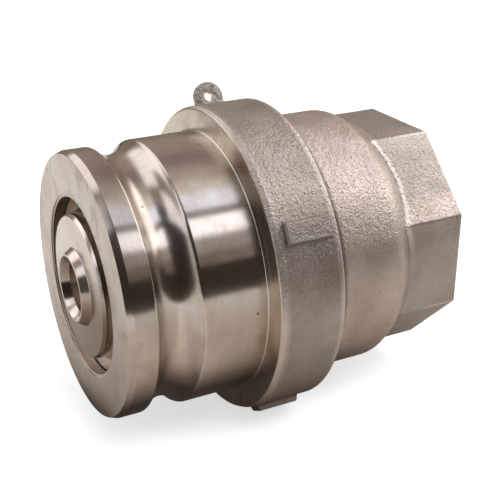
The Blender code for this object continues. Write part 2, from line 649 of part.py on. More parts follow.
def build_spider(material, parent):
    """The spider: a rim clamped behind the nose, four arms, and a hub that guides the stem."""
    bush_bore = STEM_RADIUS + BORE_CLEARANCE + BUSH_WALL + FIT_GAP
    flange_rear = SPIDER_FRONT + SPIDER_FLANGE_LENGTH
    hub = rounded([
        (HUB_GUIDE_FRONT, bush_bore),
        (HUB_GUIDE_FRONT, SPIDER_HUB_RADIUS),
        (SPIDER_FRONT, SPIDER_HUB_RADIUS),
        (SPIDER_FRONT, SPIDER_FLANGE_RADIUS),
        (flange_rear, SPIDER_FLANGE_RADIUS),
        (HUB_GUIDE_REAR, SPIDER_HUB_RADIUS),
        (HUB_GUIDE_REAR, bush_bore),
    ])
    spider = turned("spider_guide", hub, material, parent)
    rim_outer = BODY_THREAD_RADIUS - FIT_GAP
    rim_inner = rim_outer - SPIDER_RIM_WALL
    rim_section = ring_profile(SPIDER_FRONT, SPIDER_REAR, rim_inner, rim_outer)
    rim = turned("spider_rim_form", rim_section, None, parent)
    combine(spider, rim, "UNION")
    arm_outline = [
        (SPIDER_FRONT + SPIDER_ARM_EDGE, SPIDER_HUB_RADIUS - ROOT_DEPTH),
        (SPIDER_FRONT + SPIDER_ARM_EDGE, rim_inner + ROOT_DEPTH),
        (SPIDER_REAR - SPIDER_ARM_EDGE / 2.0, rim_inner + ROOT_DEPTH),
        (SPIDER_FRONT + SPIDER_ARM_LENGTH, SPIDER_HUB_RADIUS + ROOT_DEPTH),
        (SPIDER_FRONT + SPIDER_ARM_LENGTH, SPIDER_HUB_RADIUS - ROOT_DEPTH),
    ]
    for number in range(SPIDER_ARMS):
        arm = prism(
            f"spider_arm_form_{number}", arm_outline, SPIDER_ARM_THICKNESS, None, parent, SPIDER_ARM_EDGE
        )
        arm.rotation_euler = (2.0 * math.pi * number / SPIDER_ARMS, 0.0, 0.0)
        combine(spider, arm, "UNION")
    return spider


def build_bushes(material, parent):
    """A flanged bush pressed into each end of the spider's hub."""
    bore = STEM_RADIUS + BORE_CLEARANCE
    outer = bore + BUSH_WALL
    for name, flange, direction in (
        ("front_guide_bush", FRONT_BUSH_FLANGE_REAR, 1.0),
        ("rear_guide_bush", REAR_BUSH_FLANGE_FRONT, -1.0),
    ):
        bush = [
            (flange + direction * BUSH_LENGTH, bore),
            (flange + direction * BUSH_LENGTH, outer),
            (flange, outer),
            (flange, BUSH_FLANGE_RADIUS),
            (flange - direction * BUSH_FLANGE_THICKNESS, BUSH_FLANGE_RADIUS),
            (flange - direction * BUSH_FLANGE_THICKNESS, bore),
        ]
        turned(name, bush, material, parent, STEM_SEGMENTS)


def build_spring(spring_steel, parent):
    """The closing spring, with a closed turn at each end, and the washer it pushes against."""
    seat_bore = SPIDER_HUB_RADIUS + FIT_GAP
    seat = ring_profile(SPRING_SEAT_FRONT, SPRING_SEAT_REAR, seat_bore, seat_bore + SPRING_SEAT_WALL)
    turned("spring_seat", seat, spring_steel, parent)
    start = CLAMP_PLATE_REAR + FIT_GAP + SPRING_WIRE_RADIUS
    end = SPRING_SEAT_FRONT - FIT_GAP - SPRING_WIRE_RADIUS
    closed_rise = 2.0 * SPRING_WIRE_RADIUS + FIT_GAP
    open_rise = (end - start - 2.0 * SPRING_END_TURNS * closed_rise) / (SPRING_TURNS - 2.0 * SPRING_END_TURNS)
    curve = bpy.data.curves.new("poppet_spring", "CURVE")
    curve.dimensions = "3D"
    curve.bevel_depth = SPRING_WIRE_RADIUS
    curve.bevel_resolution = 1
    curve.use_fill_caps = True
    wire = curve.splines.new("POLY")
    count = SPRING_TURNS * SPRING_POINTS_PER_TURN
    wire.points.add(count)
    for index, point in enumerate(wire.points):
        turn = index / SPRING_POINTS_PER_TURN
        ahead = min(turn, SPRING_END_TURNS) + max(turn - (SPRING_TURNS - SPRING_END_TURNS), 0.0)
        station = start + closed_rise * ahead + open_rise * (turn - ahead)
        angle = 2.0 * math.pi * turn
        point.co = (station, SPRING_RADIUS * math.sin(angle), SPRING_RADIUS * math.cos(angle), 1.0)
    return add_object("poppet_spring", curve, spring_steel, parent)


def build():
    """Make every piece of the coupling."""
    clear_scene()
    turned_steel = finish_material("turned_stainless", (0.56, 0.52, 0.47), 0.25, 1.0)
    cast_steel = finish_material("cast_stainless", (0.38, 0.34, 0.30), 0.55, 1.0)
    spring_steel = finish_material("spring_stainless", (0.45, 0.44, 0.42), 0.35, 1.0)
    rubber = finish_material("seal_rubber", (0.02, 0.02, 0.02), 0.6, 0.0)
    polymer = finish_material("bush_polymer", (0.75, 0.72, 0.66), 0.5, 0.0)

    axis = empty("flow_axis", location=(FRONT_FACE_X, 0.0, AXIS_HEIGHT))
    slide = empty("poppet_slide", parent=axis)
    build_nose(turned_steel, axis)
    build_seat(turned_steel, spring_steel, rubber, axis)
    build_body_seal(rubber, axis)
    build_casting(cast_steel, axis)
    build_spider(cast_steel, axis)
    build_bushes(polymer, axis)
    build_spring(spring_steel, axis)
    build_poppet(turned_steel, rubber, slide)
    build_stem(turned_steel, spring_steel, slide)
    build_split_pin(spring_steel, slide)


build()
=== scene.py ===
# %% [markdown]
# # A dry break coupling, dressed for the camera
#
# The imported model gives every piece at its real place, but with few facets and one colour each.
# Here each piece is made again as a fine mesh around the same axis and gets the finish of the real
# metal. Lengths of the piece are in millimetres and those of the studio in metres. A station is a
# distance behind the nose's face, and a turn or an angle counts from the near side upwards.

# %% Frame
import math

import bmesh
import bpy
import numpy as np
from mathutils import Matrix, Vector


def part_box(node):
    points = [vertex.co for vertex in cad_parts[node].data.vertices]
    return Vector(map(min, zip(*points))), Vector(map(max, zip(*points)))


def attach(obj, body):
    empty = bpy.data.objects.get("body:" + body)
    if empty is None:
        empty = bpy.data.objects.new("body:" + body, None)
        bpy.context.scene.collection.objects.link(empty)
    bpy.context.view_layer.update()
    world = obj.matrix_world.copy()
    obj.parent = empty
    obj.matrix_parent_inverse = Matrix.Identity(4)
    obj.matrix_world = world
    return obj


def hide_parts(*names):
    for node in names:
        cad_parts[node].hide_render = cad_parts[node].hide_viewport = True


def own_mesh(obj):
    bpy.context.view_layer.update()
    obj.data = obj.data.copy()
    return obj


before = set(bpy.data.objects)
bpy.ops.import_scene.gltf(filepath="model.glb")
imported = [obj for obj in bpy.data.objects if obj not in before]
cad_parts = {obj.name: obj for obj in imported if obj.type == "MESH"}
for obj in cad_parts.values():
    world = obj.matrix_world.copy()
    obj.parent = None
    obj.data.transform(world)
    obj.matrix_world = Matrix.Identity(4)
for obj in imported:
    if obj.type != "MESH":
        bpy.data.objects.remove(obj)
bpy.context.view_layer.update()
MM = 0.001
nose_low, nose_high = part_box("nose_body")
FRONT_X = nose_low.x / MM
AXIS_Z = (nose_low.z + nose_high.z) / 2.0 / MM
print("front face at", round(FRONT_X, 2), "axis at", round(AXIS_Z, 2))

# %% [markdown]
# ## Camera
#
# The photograph was taken from the nose's end, a little above the axis. A long lens close by gives
# the mild perspective that makes the front rim look larger than the octagon. The camera is placed
# by a position and a direction, and has no roll, so one matrix from the direction is enough.

# %% Camera
CAMERA_AT = Vector((-193.05, -377.05, 260.08)) * MM
LOOK = Vector((0.42154, 0.81010, -0.40750))
FOCAL_PIXELS = 989.77
IMAGE_PIXELS = 500.0
SENSOR = 36.0

camera_data = bpy.data.cameras.new("camera")
camera_data.sensor_width = SENSOR
camera_data.lens = FOCAL_PIXELS / IMAGE_PIXELS * SENSOR
camera_data.clip_start = 0.01
camera = bpy.data.objects.new("camera", camera_data)
bpy.context.scene.collection.objects.link(camera)
camera.matrix_world = Matrix.Translation(CAMERA_AT) @ LOOK.to_track_quat("-Z", "Y").to_matrix().to_4x4()
bpy.context.scene.camera = camera
bpy.context.scene.view_settings.view_transform = "Standard"
print("lens", round(camera_data.lens, 2), "mm")

# %% [markdown]
# ## Two helpers for materials
#
# A material is a small graph of nodes. One function turns the hex colours that people write into
# the linear values that the renderer works with. The other adds a node with its settings, and links
# whatever input is given as another node's output.

# %% Colour and node helpers
def linear(text, alpha=1.0):
    """The linear colour of an sRGB hex text such as #C0B8AE."""
    channels = [int(text[i:i + 2], 16) / 255.0 for i in (1, 3, 5)]
    return tuple(c / 12.92 if c <= 0.04045 else ((c + 0.055) / 1.055) ** 2.4 for c in channels) + (alpha,)


def add(tree, kind, inputs=None, **settings):
    """Add a node, set its properties and inputs, and link the inputs that are sockets."""
    made = tree.nodes.new(kind)
    for key, value in settings.items():
        setattr(made, key, value)
    for key, value in (inputs or {}).items():
        if isinstance(value, bpy.types.NodeSocket):
            tree.links.new(value, made.inputs[key])
        else:
            made.inputs[key].default_value = value
    return made


def new_material(name):
    """An empty material with its shader and output joined."""
    material = bpy.data.materials.new(name)
    material.use_nodes = True
    tree = material.node_tree
    return material, tree, tree.nodes["Principled BSDF"]


print("helpers:", linear.__name__, add.__name__, new_material.__name__)

# %% [markdown]
# ## Studio
#
# Polished metal has no look of its own: it shows the room. The photograph's nose shows, from the
# top down, a dim wall behind, a bright softbox overhead, a thin gap, a second softbox in front, the
# dark room behind the camera and the pale table. The floor comes first: a large white sweep, which
# glows for the rays that are seen and not for scattered light. So it looks pure white and doesn't
# light dull pieces from below. The white world behind it is dimmer for scattered light too.

# %% Studio floor and world
FLOOR_RADIUS = 6.0
FLOOR_SIDES = 96
FLOOR_GLOW = 0.60
# The floor lies this many metres under the part, so that the two never share a plane
FLOOR_GAP = 0.0002
SCATTERED_LEVEL = 0.55


def seen_rays(tree):
    """1 for the rays of the camera, of reflections and through glass, and 0 for scattered light."""
    path = add(tree, "ShaderNodeLightPath")
    seen = path.outputs["Is Camera Ray"]
    for kind in ("Is Glossy Ray", "Is Transmission Ray"):
        seen = add(tree, "ShaderNodeMath", {0: seen, 1: path.outputs[kind]}, operation="MAXIMUM").outputs[0]
    return seen


floor_shape = bmesh.new()
bmesh.ops.create_circle(floor_shape, cap_ends=True, radius=FLOOR_RADIUS, segments=FLOOR_SIDES)
floor_mesh = bpy.data.meshes.new("floor")
floor_shape.to_mesh(floor_mesh)
floor_shape.free()
floor = bpy.data.objects.new("floor", floor_mesh)
bpy.context.scene.collection.objects.link(floor)
floor.location.z = -FLOOR_GAP

paper, tree, shader = new_material("white_paper_sweep")
shader.inputs["Base Color"].default_value = linear("#F4F4F4")
shader.inputs["Roughness"].default_value = 0.9
shader.inputs["Specular IOR Level"].default_value = 0.1
glow = add(tree, "ShaderNodeMath", {0: seen_rays(tree), 1: FLOOR_GLOW}, operation="MULTIPLY")
shader.inputs["Emission Color"].default_value = linear("#FFFFFF")
tree.links.new(glow.outputs[0], shader.inputs["Emission Strength"])
floor_mesh.materials.append(paper)

world = bpy.data.worlds.new("studio")
bpy.context.scene.world = world
world.use_nodes = True
tree = world.node_tree
level = add(tree, "ShaderNodeMapRange", {"Value": seen_rays(tree), "To Min": SCATTERED_LEVEL,
                                         "To Max": 1.0})
tree.links.new(level.outputs["Result"], tree.nodes["Background"].inputs["Strength"])
tree.nodes["Background"].inputs["Color"].default_value = linear("#FFFFFF")
print("floor of", FLOOR_RADIUS, "m and world", world.name)

# %% [markdown]
# ## Arch of panels
#
# What the metal reflects is an arch of glowing panels round the flow axis. A photographer would hang
# flat softboxes, but a long arch gives the long straight bands that a turned cylinder shows. It has
# four lengths with their own panels, because the cylinder, the groove's curve and the faces each
# look towards another part of the room. Only reflections show it: it gives the floor no light.

# %% Panels
ARCH_RADIUS = 0.90
ARCH_STEPS = 96
ARCH_END = 2.2
# The arch's centre is the flow axis, so it has to start this far under it to reach the floor
ARCH_FOOT = math.asin(AXIS_Z * MM / ARCH_RADIUS)
# Each panel runs from one angle to another, counted in degrees from the camera's side of the floor
# over the top, and has a colour and a strength. Between two panels the colour blends.
RIGHT_PANELS = (
    (0.0, 21.0, "#433A38", 1.0),
    (22.5, 31.0, "#A2968F", 1.0),
    (34.0, 43.5, "#C9C2C2", 1.0),
    (46.5, 60.0, "#F4F6FF", 2.4),
    (61.5, 66.5, "#8F8784", 1.0),
    (69.0, 79.0, "#E6ECFF", 1.9),
    (87.0, 91.0, "#FFFBF6", 1.0),
    (99.0, 103.0, "#D0C8BF", 1.0),
    (116.0, 128.0, "#9A8B84", 1.0),
    (136.0, 160.0, "#B1A298", 1.0),
    (170.0, 180.0, "#978879", 1.0),
)
MIDDLE_PANELS = (
    (0.0, 76.0, "#39312E", 1.0),
    (84.0, 98.0, "#A79A90", 1.0),
    (108.0, 154.0, "#F4F2F6", 1.8),
    (162.0, 180.0, "#978879", 1.0),
)
FAR_PANELS = (
    (0.0, 26.0, "#4A403C", 1.0),
    (34.0, 48.0, "#A2968F", 1.0),
    (50.0, 124.0, "#F6F3F0", 2.6),
    (140.0, 180.0, "#978879", 1.0),
)
LEFT_PANELS = (
    (0.0, 64.0, "#39312E", 1.0),
    (70.0, 95.0, "#F2F2FA", 1.7),
    (102.0, 122.0, "#9C8E82", 1.0),
    (127.0, 158.0, "#F4F2F6", 1.9),
    (166.0, 180.0, "#978879", 1.0),
)
# Each length of the arch runs from one place along the axis to another, in metres
ARCH_LENGTHS = (
    ("arch_far", 0.58, ARCH_END, FAR_PANELS),
    ("arch_right", 0.03, 0.58, RIGHT_PANELS),
    ("arch_middle", -0.45, 0.03, MIDDLE_PANELS),
    ("arch_left", -ARCH_END, -0.45, LEFT_PANELS),
)
print("panels:", sum(len(panels) for name, left, right, panels in ARCH_LENGTHS))


# %% Paint that gives off light
def glowing(name, share_of, stops):
    """A paint that gives off light, coloured by a ramp over a share worked out from the place."""
    material, tree, shader = new_material(name)
    place = add(tree, "ShaderNodeTexCoord")
    parts = add(tree, "ShaderNodeSeparateXYZ", {0: place.outputs["Object"]})
    ramp = add(tree, "ShaderNodeValToRGB", {0: share_of(tree, parts.outputs)})
    elements = ramp.color_ramp.elements
    elements.remove(elements[1])
    elements[0].position, elements[0].color = stops[0]
    for position, colour in stops[1:]:
        elements.new(position).color = colour
    shader.inputs["Base Color"].default_value = (0.0, 0.0, 0.0, 1.0)
    shader.inputs["Specular IOR Level"].default_value = 0.0
    shader.inputs["Emission Strength"].default_value = 1.0
    tree.links.new(ramp.outputs["Color"], shader.inputs["Emission Color"])
    return material


def only_in_reflections(name, shape, material):
    """A studio piece that polished metal shows, and that neither the camera nor the floor sees."""
    mesh = bpy.data.meshes.new(name)
    shape.to_mesh(mesh)
    shape.free()
    mesh.shade_smooth()
    mesh.materials.append(material)
    made = bpy.data.objects.new(name, mesh)
    bpy.context.scene.collection.objects.link(made)
    made.visible_camera = False
    made.visible_shadow = False
    made.visible_diffuse = False
    return made


print("helpers:", glowing.__name__, only_in_reflections.__name__)


# %% Studio arch
def turn_share(tree, axes):
    """The angle over the arch, as a share of the half turn."""
    near = add(tree, "ShaderNodeMath", {0: axes["Y"], 1: -1.0}, operation="MULTIPLY")
    turn = add(tree, "ShaderNodeMath", {0: axes["Z"], 1: near.outputs[0]}, operation="ARCTAN2")
    return add(tree, "ShaderNodeMath", {0: turn.outputs[0], 1: math.pi}, operation="DIVIDE").outputs[0]


def arch_part(name, left, right, panels):
    """A stretch of the half tube round the flow axis, from one place along it to another."""
    shape = bmesh.new()
    rows = []
    for step in range(ARCH_STEPS + 1):
        angle = -ARCH_FOOT + (math.pi + 2.0 * ARCH_FOOT) * step / ARCH_STEPS
        y, z = -ARCH_RADIUS * math.cos(angle), ARCH_RADIUS * math.sin(angle)
        rows.append([shape.verts.new((x, y, z)) for x in (left, right)])
    for low, high in zip(rows, rows[1:]):
        shape.faces.new((low[0], low[1], high[1], high[0]))
    stops = []
    for start, end, tint, strength in panels:
        colour = tuple(strength * channel for channel in linear(tint)[:3]) + (1.0,)
        stops += [(start / 180.0, colour), (end / 180.0, colour)]
    made = only_in_reflections(name, shape, glowing(name + "_paint", turn_share, stops))
    made.location.z = AXIS_Z * MM


for length in ARCH_LENGTHS:
    arch_part(*length)
print("arch:", len(ARCH_LENGTHS), "lengths")

# %% [markdown]
# ## Table card
#
# The table under real metal is never evenly bright: close to the piece it lies in the piece's own
# shade. That shade is why the underside of the nose turns dark. A card on the floor, seen only in
# reflections, has it, while the floor that the camera sees stays white. Its tone follows the
# distance from the object, gets bright sooner on the far side, and has a pool of light beside the
# nose.

# %% Table card
# Where the object's shade ends along the axis, and how much faster it fades in front of the nose
SHADE_REAR = 0.02
SHADE_FRONT = -0.072
FRONT_SLOPE = 3.0
TABLE_REACH = 0.6
# How far out on the far side the tones come this much sooner
FAR_SIDE = 0.15
FAR_SIDE_GAIN = 1.4
FAR_SIDE_POWER = 4.0
# The pool of light: where along the axis, in metres, it comes up and goes down, and by how much
POOL_RISE = (-0.008, -0.030)
POOL_FALL = (-0.060, -0.085)
NOSE_POOL = 0.5
POOL_DROP = 0.45
CARD_GAP = 0.0001
# Distance from the flow axis in metres, and the tone of the table there
TABLE_TONES = (
    (0.036, "#3A3331"), (0.050, "#655A54"), (0.060, "#8C8077"), (0.074, "#AEA39A"), (0.093, "#C2B8B0"),
    (0.120, "#CBC2B8"), (0.160, "#D2C8BF"), (0.250, "#DFD8D1"), (0.600, "#F6F2EE"),
)


def distance_share(tree, axes):
    """The distance from the object's axis, which ends where the object does, as a share of a reach."""
    behind = add(tree, "ShaderNodeMath", {0: axes["X"], 1: SHADE_REAR}, operation="SUBTRACT")
    ahead = add(tree, "ShaderNodeMath", {0: axes["X"], 1: -FRONT_SLOPE, 2: FRONT_SLOPE * SHADE_FRONT},
                operation="MULTIPLY_ADD")
    past = add(tree, "ShaderNodeMath", {0: behind.outputs[0], 1: ahead.outputs[0]}, operation="MAXIMUM")
    past = add(tree, "ShaderNodeMath", {0: past.outputs[0], 1: 0.0}, operation="MAXIMUM")
    flat = add(tree, "ShaderNodeCombineXYZ", {"X": past.outputs[0], "Y": axes["Y"]})
    reach = add(tree, "ShaderNodeVectorMath", {0: flat.outputs[0]}, operation="LENGTH")
    share = add(tree, "ShaderNodeMath", {0: reach.outputs["Value"], 1: TABLE_REACH}, operation="DIVIDE")
    far = add(tree, "ShaderNodeMapRange", {"Value": axes["Y"], "From Max": FAR_SIDE})
    far = add(tree, "ShaderNodeMath", {0: far.outputs["Result"], 1: FAR_SIDE_POWER}, operation="POWER")
    gain = add(tree, "ShaderNodeMath", {0: far.outputs[0], 1: FAR_SIDE_GAIN, 2: 1.0},
               operation="MULTIPLY_ADD")
    grown = add(tree, "ShaderNodeMath", {0: share.outputs[0], 1: gain.outputs[0]}, operation="MULTIPLY")
    return grown.outputs[0]


def pool_of_light(tree):
    """The card's strength: 1, more beside the nose, and less in front of it."""
    place = add(tree, "ShaderNodeTexCoord")
    along = add(tree, "ShaderNodeSeparateXYZ", {0: place.outputs["Object"]}).outputs["X"]
    rise = add(tree, "ShaderNodeMapRange", {"Value": along, "From Min": POOL_RISE[0],
                                            "From Max": POOL_RISE[1], "To Min": 1.0,
                                            "To Max": 1.0 + NOSE_POOL})
    fall = add(tree, "ShaderNodeMapRange", {"Value": along, "From Min": POOL_FALL[0],
                                            "From Max": POOL_FALL[1], "To Max": POOL_DROP})
    pool = add(tree, "ShaderNodeMath", {0: rise.outputs["Result"], 1: fall.outputs["Result"]},
               operation="SUBTRACT")
    return pool.outputs[0]


card_shape = bmesh.new()
bmesh.ops.create_grid(card_shape, x_segments=1, y_segments=1, size=1.0)
bmesh.ops.scale(card_shape, vec=(ARCH_END, ARCH_RADIUS, 1.0), verts=card_shape.verts)
card_stops = [(distance / TABLE_REACH, linear(tone)) for distance, tone in TABLE_TONES]
card_paint = glowing("shaded_table", distance_share, card_stops)
tree = card_paint.node_tree
tree.links.new(pool_of_light(tree), tree.nodes["Principled BSDF"].inputs["Emission Strength"])
card = only_in_reflections("table_card", card_shape, card_paint)
card.location.z = -CARD_GAP
print("table card with", len(card_stops), "tones")

# %% [markdown]
# ## Lamp
#
# A large soft lamp above, on the camera's side, lights what scatters light, such as the rubber, and
# gives the floor its soft shadow. Metal doesn't show it, because the arch's panels already stand for
# the softboxes there.

# %% Studio lamp
LAMP_AT = Vector((0.25, -0.55, 1.15))
LAMP_SIZE = 0.9
LAMP_POWER = 11.0

lamp_data = bpy.data.lights.new("softbox", "AREA")
lamp_data.shape = "DISK"
lamp_data.size = LAMP_SIZE
lamp_data.energy = LAMP_POWER
lamp = bpy.data.objects.new("softbox", lamp_data)
bpy.context.scene.collection.objects.link(lamp)
lamp.location = LAMP_AT
lamp.rotation_euler = (-LAMP_AT).to_track_quat("-Z", "Y").to_euler()
lamp.visible_glossy = False
lamp.visible_camera = False
print("lamp of", LAMP_SIZE, "m and", LAMP_POWER, "W")

# %% [markdown]
# ## Turned stainless steel
#
# The nose, the poppet and the seat are stainless steel bar or casting, turned on a lathe and
# polished. The tool leaves fine rings round the axis, so reflections smear along the axis and stay
# crisp around it. Stainless reflects a warm grey, and a metal takes its colour from its reflection,
# so the base colour is that grey and metallic is 1. Use leaves faint brown stains, soft lines where
# drops dried and small nicks, and painted shade darkens places that the mesh names. Each is a mask
# of its own, made by a small function, so that every piece can have more or less of it.

# %% Marks of the tool and of use
# Real rings are finer than a pixel here, so they are drawn this many millimetres apart to show
RING_PITCH = 0.35
# How fast a ring's tone changes round the axis, against its change from ring to ring
RING_DRIFT = 12.0
# The slow noise's value at a drop's edge, and how far from that value the line fades out
DROP_SIZE = 30.0
DROP_EDGE = 0.53
DROP_EDGE_WIDTH = 0.035
# A nick's core and edge are shares of a cell, nearly a millimetre: larger than real ones, to show
NICK_SPACING = 9.0
NICK_SHARE = 0.42
NICK_CORE = 0.05
NICK_EDGE = 0.09
NICK_DARKNESS = 0.8


def axis_position(tree):
    """The place relative to the flow axis: the offset vector, its X and its distance from the axis."""
    place = add(tree, "ShaderNodeTexCoord")
    offset = add(tree, "ShaderNodeVectorMath", {0: place.outputs["Object"], 1: (0.0, 0.0, AXIS_Z * MM)},
                 operation="SUBTRACT")
    parts = add(tree, "ShaderNodeSeparateXYZ", {0: offset.outputs[0]})
    across = add(tree, "ShaderNodeCombineXYZ", {"Y": parts.outputs["Y"], "Z": parts.outputs["Z"]})
    radius = add(tree, "ShaderNodeVectorMath", {0: across.outputs[0]}, operation="LENGTH")
    return offset.outputs[0], parts.outputs["X"], radius.outputs["Value"]


def tool_rings(tree, offset, along, radius, pitch):
    """Rings round the axis: a noise that changes fast along the tool's path and slowly round it."""
    reach = add(tree, "ShaderNodeMath", {0: along, 1: radius}, operation="ADD")
    ring_place = add(tree, "ShaderNodeMath", {0: reach.outputs[0], 1: 1.0 / (pitch * MM)},
                     operation="MULTIPLY")
    drift = add(tree, "ShaderNodeVectorMath", {0: offset, 1: (RING_DRIFT,) * 3}, operation="MULTIPLY")
    rings = add(tree, "ShaderNodeTexNoise", {"Vector": drift.outputs[0], "W": ring_place.outputs[0],
                                             "Scale": 1.0, "Detail": 3.0, "Roughness": 0.6},
                noise_dimensions="4D")
    return rings.outputs["Fac"]


def dried_lines(tree, offset, strength):
    """The line that a drop leaves round its edge as it dries, where a slow noise has one value."""
    drops = add(tree, "ShaderNodeTexNoise", {"Vector": offset, "Scale": 1.0 / (DROP_SIZE * MM),
                                             "Detail": 3.0, "Roughness": 0.55})
    off_edge = add(tree, "ShaderNodeMath", {0: drops.outputs["Fac"], 1: DROP_EDGE}, operation="SUBTRACT")
    off_edge = add(tree, "ShaderNodeMath", {0: off_edge.outputs[0]}, operation="ABSOLUTE")
    line = add(tree, "ShaderNodeMapRange", {"Value": off_edge.outputs[0], "From Min": 0.0,
                                            "From Max": DROP_EDGE_WIDTH, "To Min": strength,
                                            "To Max": 0.0})
    return line.outputs["Result"]


def nicks(tree, offset):
    """A dark dot in the middle of some cells, whose colour's red says which."""
    cells = add(tree, "ShaderNodeTexVoronoi", {"Vector": offset, "Scale": 1.0 / (NICK_SPACING * MM)})
    chosen = add(tree, "ShaderNodeSeparateColor", {0: cells.outputs["Color"]})
    chosen = add(tree, "ShaderNodeMath", {0: chosen.outputs[0], 1: NICK_SHARE}, operation="LESS_THAN")
    dot = add(tree, "ShaderNodeMapRange", {"Value": cells.outputs["Distance"], "From Min": NICK_CORE,
                                           "From Max": NICK_EDGE, "To Min": NICK_DARKNESS,
                                           "To Max": 0.0})
    nick = add(tree, "ShaderNodeMath", {0: dot.outputs["Result"], 1: chosen.outputs[0]},
               operation="MULTIPLY")
    return nick.outputs[0]


print("tool rings every", RING_PITCH, "mm, drops of", DROP_SIZE, "mm, nicks every", NICK_SPACING, "mm")


# %% Turned stainless
STAIN_SIZE = 16.0
# The brown of dried lines and nicks, and of painted shade
GRIME_AND_SHADE = "#6E5B48"


def turned_stainless(name, light, dark, roughness, stain_strength, ring_depth, smear, dried=0.0,
                     ring_pitch=RING_PITCH):
    """Lathe-turned, polished stainless steel, with the marks of the tool and of use, and painted shade."""
    material, tree, shader = new_material(name)
    offset, along, radius = axis_position(tree)
    rings = tool_rings(tree, offset, along, radius, ring_pitch)
    stains = add(tree, "ShaderNodeTexNoise", {"Vector": offset, "Scale": 1.0 / (STAIN_SIZE * MM),
                                              "Detail": 5.0, "Roughness": 0.62})
    stain_mask = add(tree, "ShaderNodeMapRange", {"Value": stains.outputs["Fac"], "From Min": 0.46,
                                                  "From Max": 0.70, "To Max": stain_strength})
    tone = add(tree, "ShaderNodeMix", {"Factor": stain_mask.outputs["Result"], 6: linear(light),
                                       7: linear(dark)}, data_type="RGBA")
    # A value of the mesh is painted shade; dried lines and nicks are real marks. All darken to one brown.
    dirt_and_shade = add(tree, "ShaderNodeAttribute", attribute_name="painted_shade").outputs["Fac"]
    for mask in (dried_lines(tree, offset, dried), nicks(tree, offset)):
        dirt_and_shade = add(tree, "ShaderNodeMath", {0: dirt_and_shade, 1: mask}, operation="MAXIMUM").outputs[0]
    dirty_and_shaded = add(tree, "ShaderNodeMix", {"Factor": dirt_and_shade, 6: tone.outputs[2], 7: linear(GRIME_AND_SHADE)},
                data_type="RGBA")
    streak = add(tree, "ShaderNodeMapRange", {"Value": rings, "From Min": 0.3,
                                              "From Max": 0.7, "To Min": 0.94, "To Max": 1.05})
    shade = add(tree, "ShaderNodeVectorMath", {0: dirty_and_shaded.outputs[2], "Scale": streak.outputs["Result"]},
                operation="SCALE")
    tree.links.new(shade.outputs[0], shader.inputs["Base Color"])
    rough = add(tree, "ShaderNodeMapRange", {"Value": stains.outputs["Fac"], "From Min": 0.35,
                                             "From Max": 0.75, "To Min": roughness,
                                             "To Max": roughness + 0.07})
    tree.links.new(rough.outputs["Result"], shader.inputs["Roughness"])
    bump = add(tree, "ShaderNodeBump", {"Height": rings, "Strength": 0.35,
                                        "Distance": ring_depth * MM})
    tree.links.new(bump.outputs[0], shader.inputs["Normal"])
    # The rings run round the axis, so the smear, a quarter turn from them, runs across them
    round_axis = add(tree, "ShaderNodeVectorMath", {0: (1.0, 0.0, 0.0), 1: offset},
                     operation="CROSS_PRODUCT")
    tree.links.new(round_axis.outputs[0], shader.inputs["Tangent"])
    shader.inputs["Anisotropic"].default_value = smear
    shader.inputs["Anisotropic Rotation"].default_value = 0.25
    shader.inputs["Metallic"].default_value = 1.0
    return material


nose_steel = turned_stainless("turned_polished_stainless", "#C2B8AF", "#9A8570", roughness=0.18,
                              stain_strength=0.38, ring_depth=0.006, smear=0.85)
rim_steel = turned_stainless("handled_polished_stainless", "#B4AAA1", "#8C7864", roughness=0.20,
                             stain_strength=0.40, ring_depth=0.006, smear=0.80)
front_steel = turned_stainless("faced_polished_stainless", "#C2B8AF", "#9A8570", roughness=0.18,
                               stain_strength=0.45, ring_depth=0.006, smear=0.85, dried=0.34)
poppet_steel = turned_stainless("fine_turned_stainless", "#D0C6BD", "#A8968A", roughness=0.17,
                                stain_strength=0.30, ring_depth=0.008, smear=0.60)
# The opening's steel is paler than stainless, as painted light in the opening's shade
bore_steel = turned_stainless("rough_turned_stainless_painted_light", "#F2EAE0", "#C0B09E", roughness=0.28,
                              stain_strength=0.40, ring_depth=0.25, smear=0.30, ring_pitch=0.9)
face_steel = turned_stainless("stained_faced_stainless", "#CFC5B6", "#84653F", roughness=0.24,
                              stain_strength=0.55, ring_depth=0.010, smear=0.80, dried=0.10)
bright_steel = turned_stainless("bright_drawn_stainless", "#C9C4BE", "#A39A90", roughness=0.22,
                                stain_strength=0.20, ring_depth=0.004, smear=0.30)
print("turned finishes:", nose_steel.name, poppet_steel.name, bore_steel.name, bright_steel.name)

# %% [markdown]
# ## Cast stainless steel
#
# The collar, barrel and octagon are one casting, blasted after it leaves its mould. Blasting gives
# a dull grain of about half a millimetre with a few pits, which scatters light, so the roughness
# is high. Edges get rubbed in use and come up lighter and less rough, and the octagon's lip gets a
# painted highlight. Soil and painted shade darken the corners. The mesh carries these as named
# values at each point, because the script knows exactly where the edges are. Two more values say
# how coarse the grain is at a point and how much painted light brightens or darkens it.

# %% Cast stainless
# The grain is drawn at 0.85 mm, coarser than the real half millimetre, so that it shows
GRAIN_SIZE = 0.85
LUG_GRAIN_SIZE = 1.1
PATCH_SIZE = 22.0
# The colour of soil and of painted shade
SOIL_AND_SHADE = "#4E3E31"


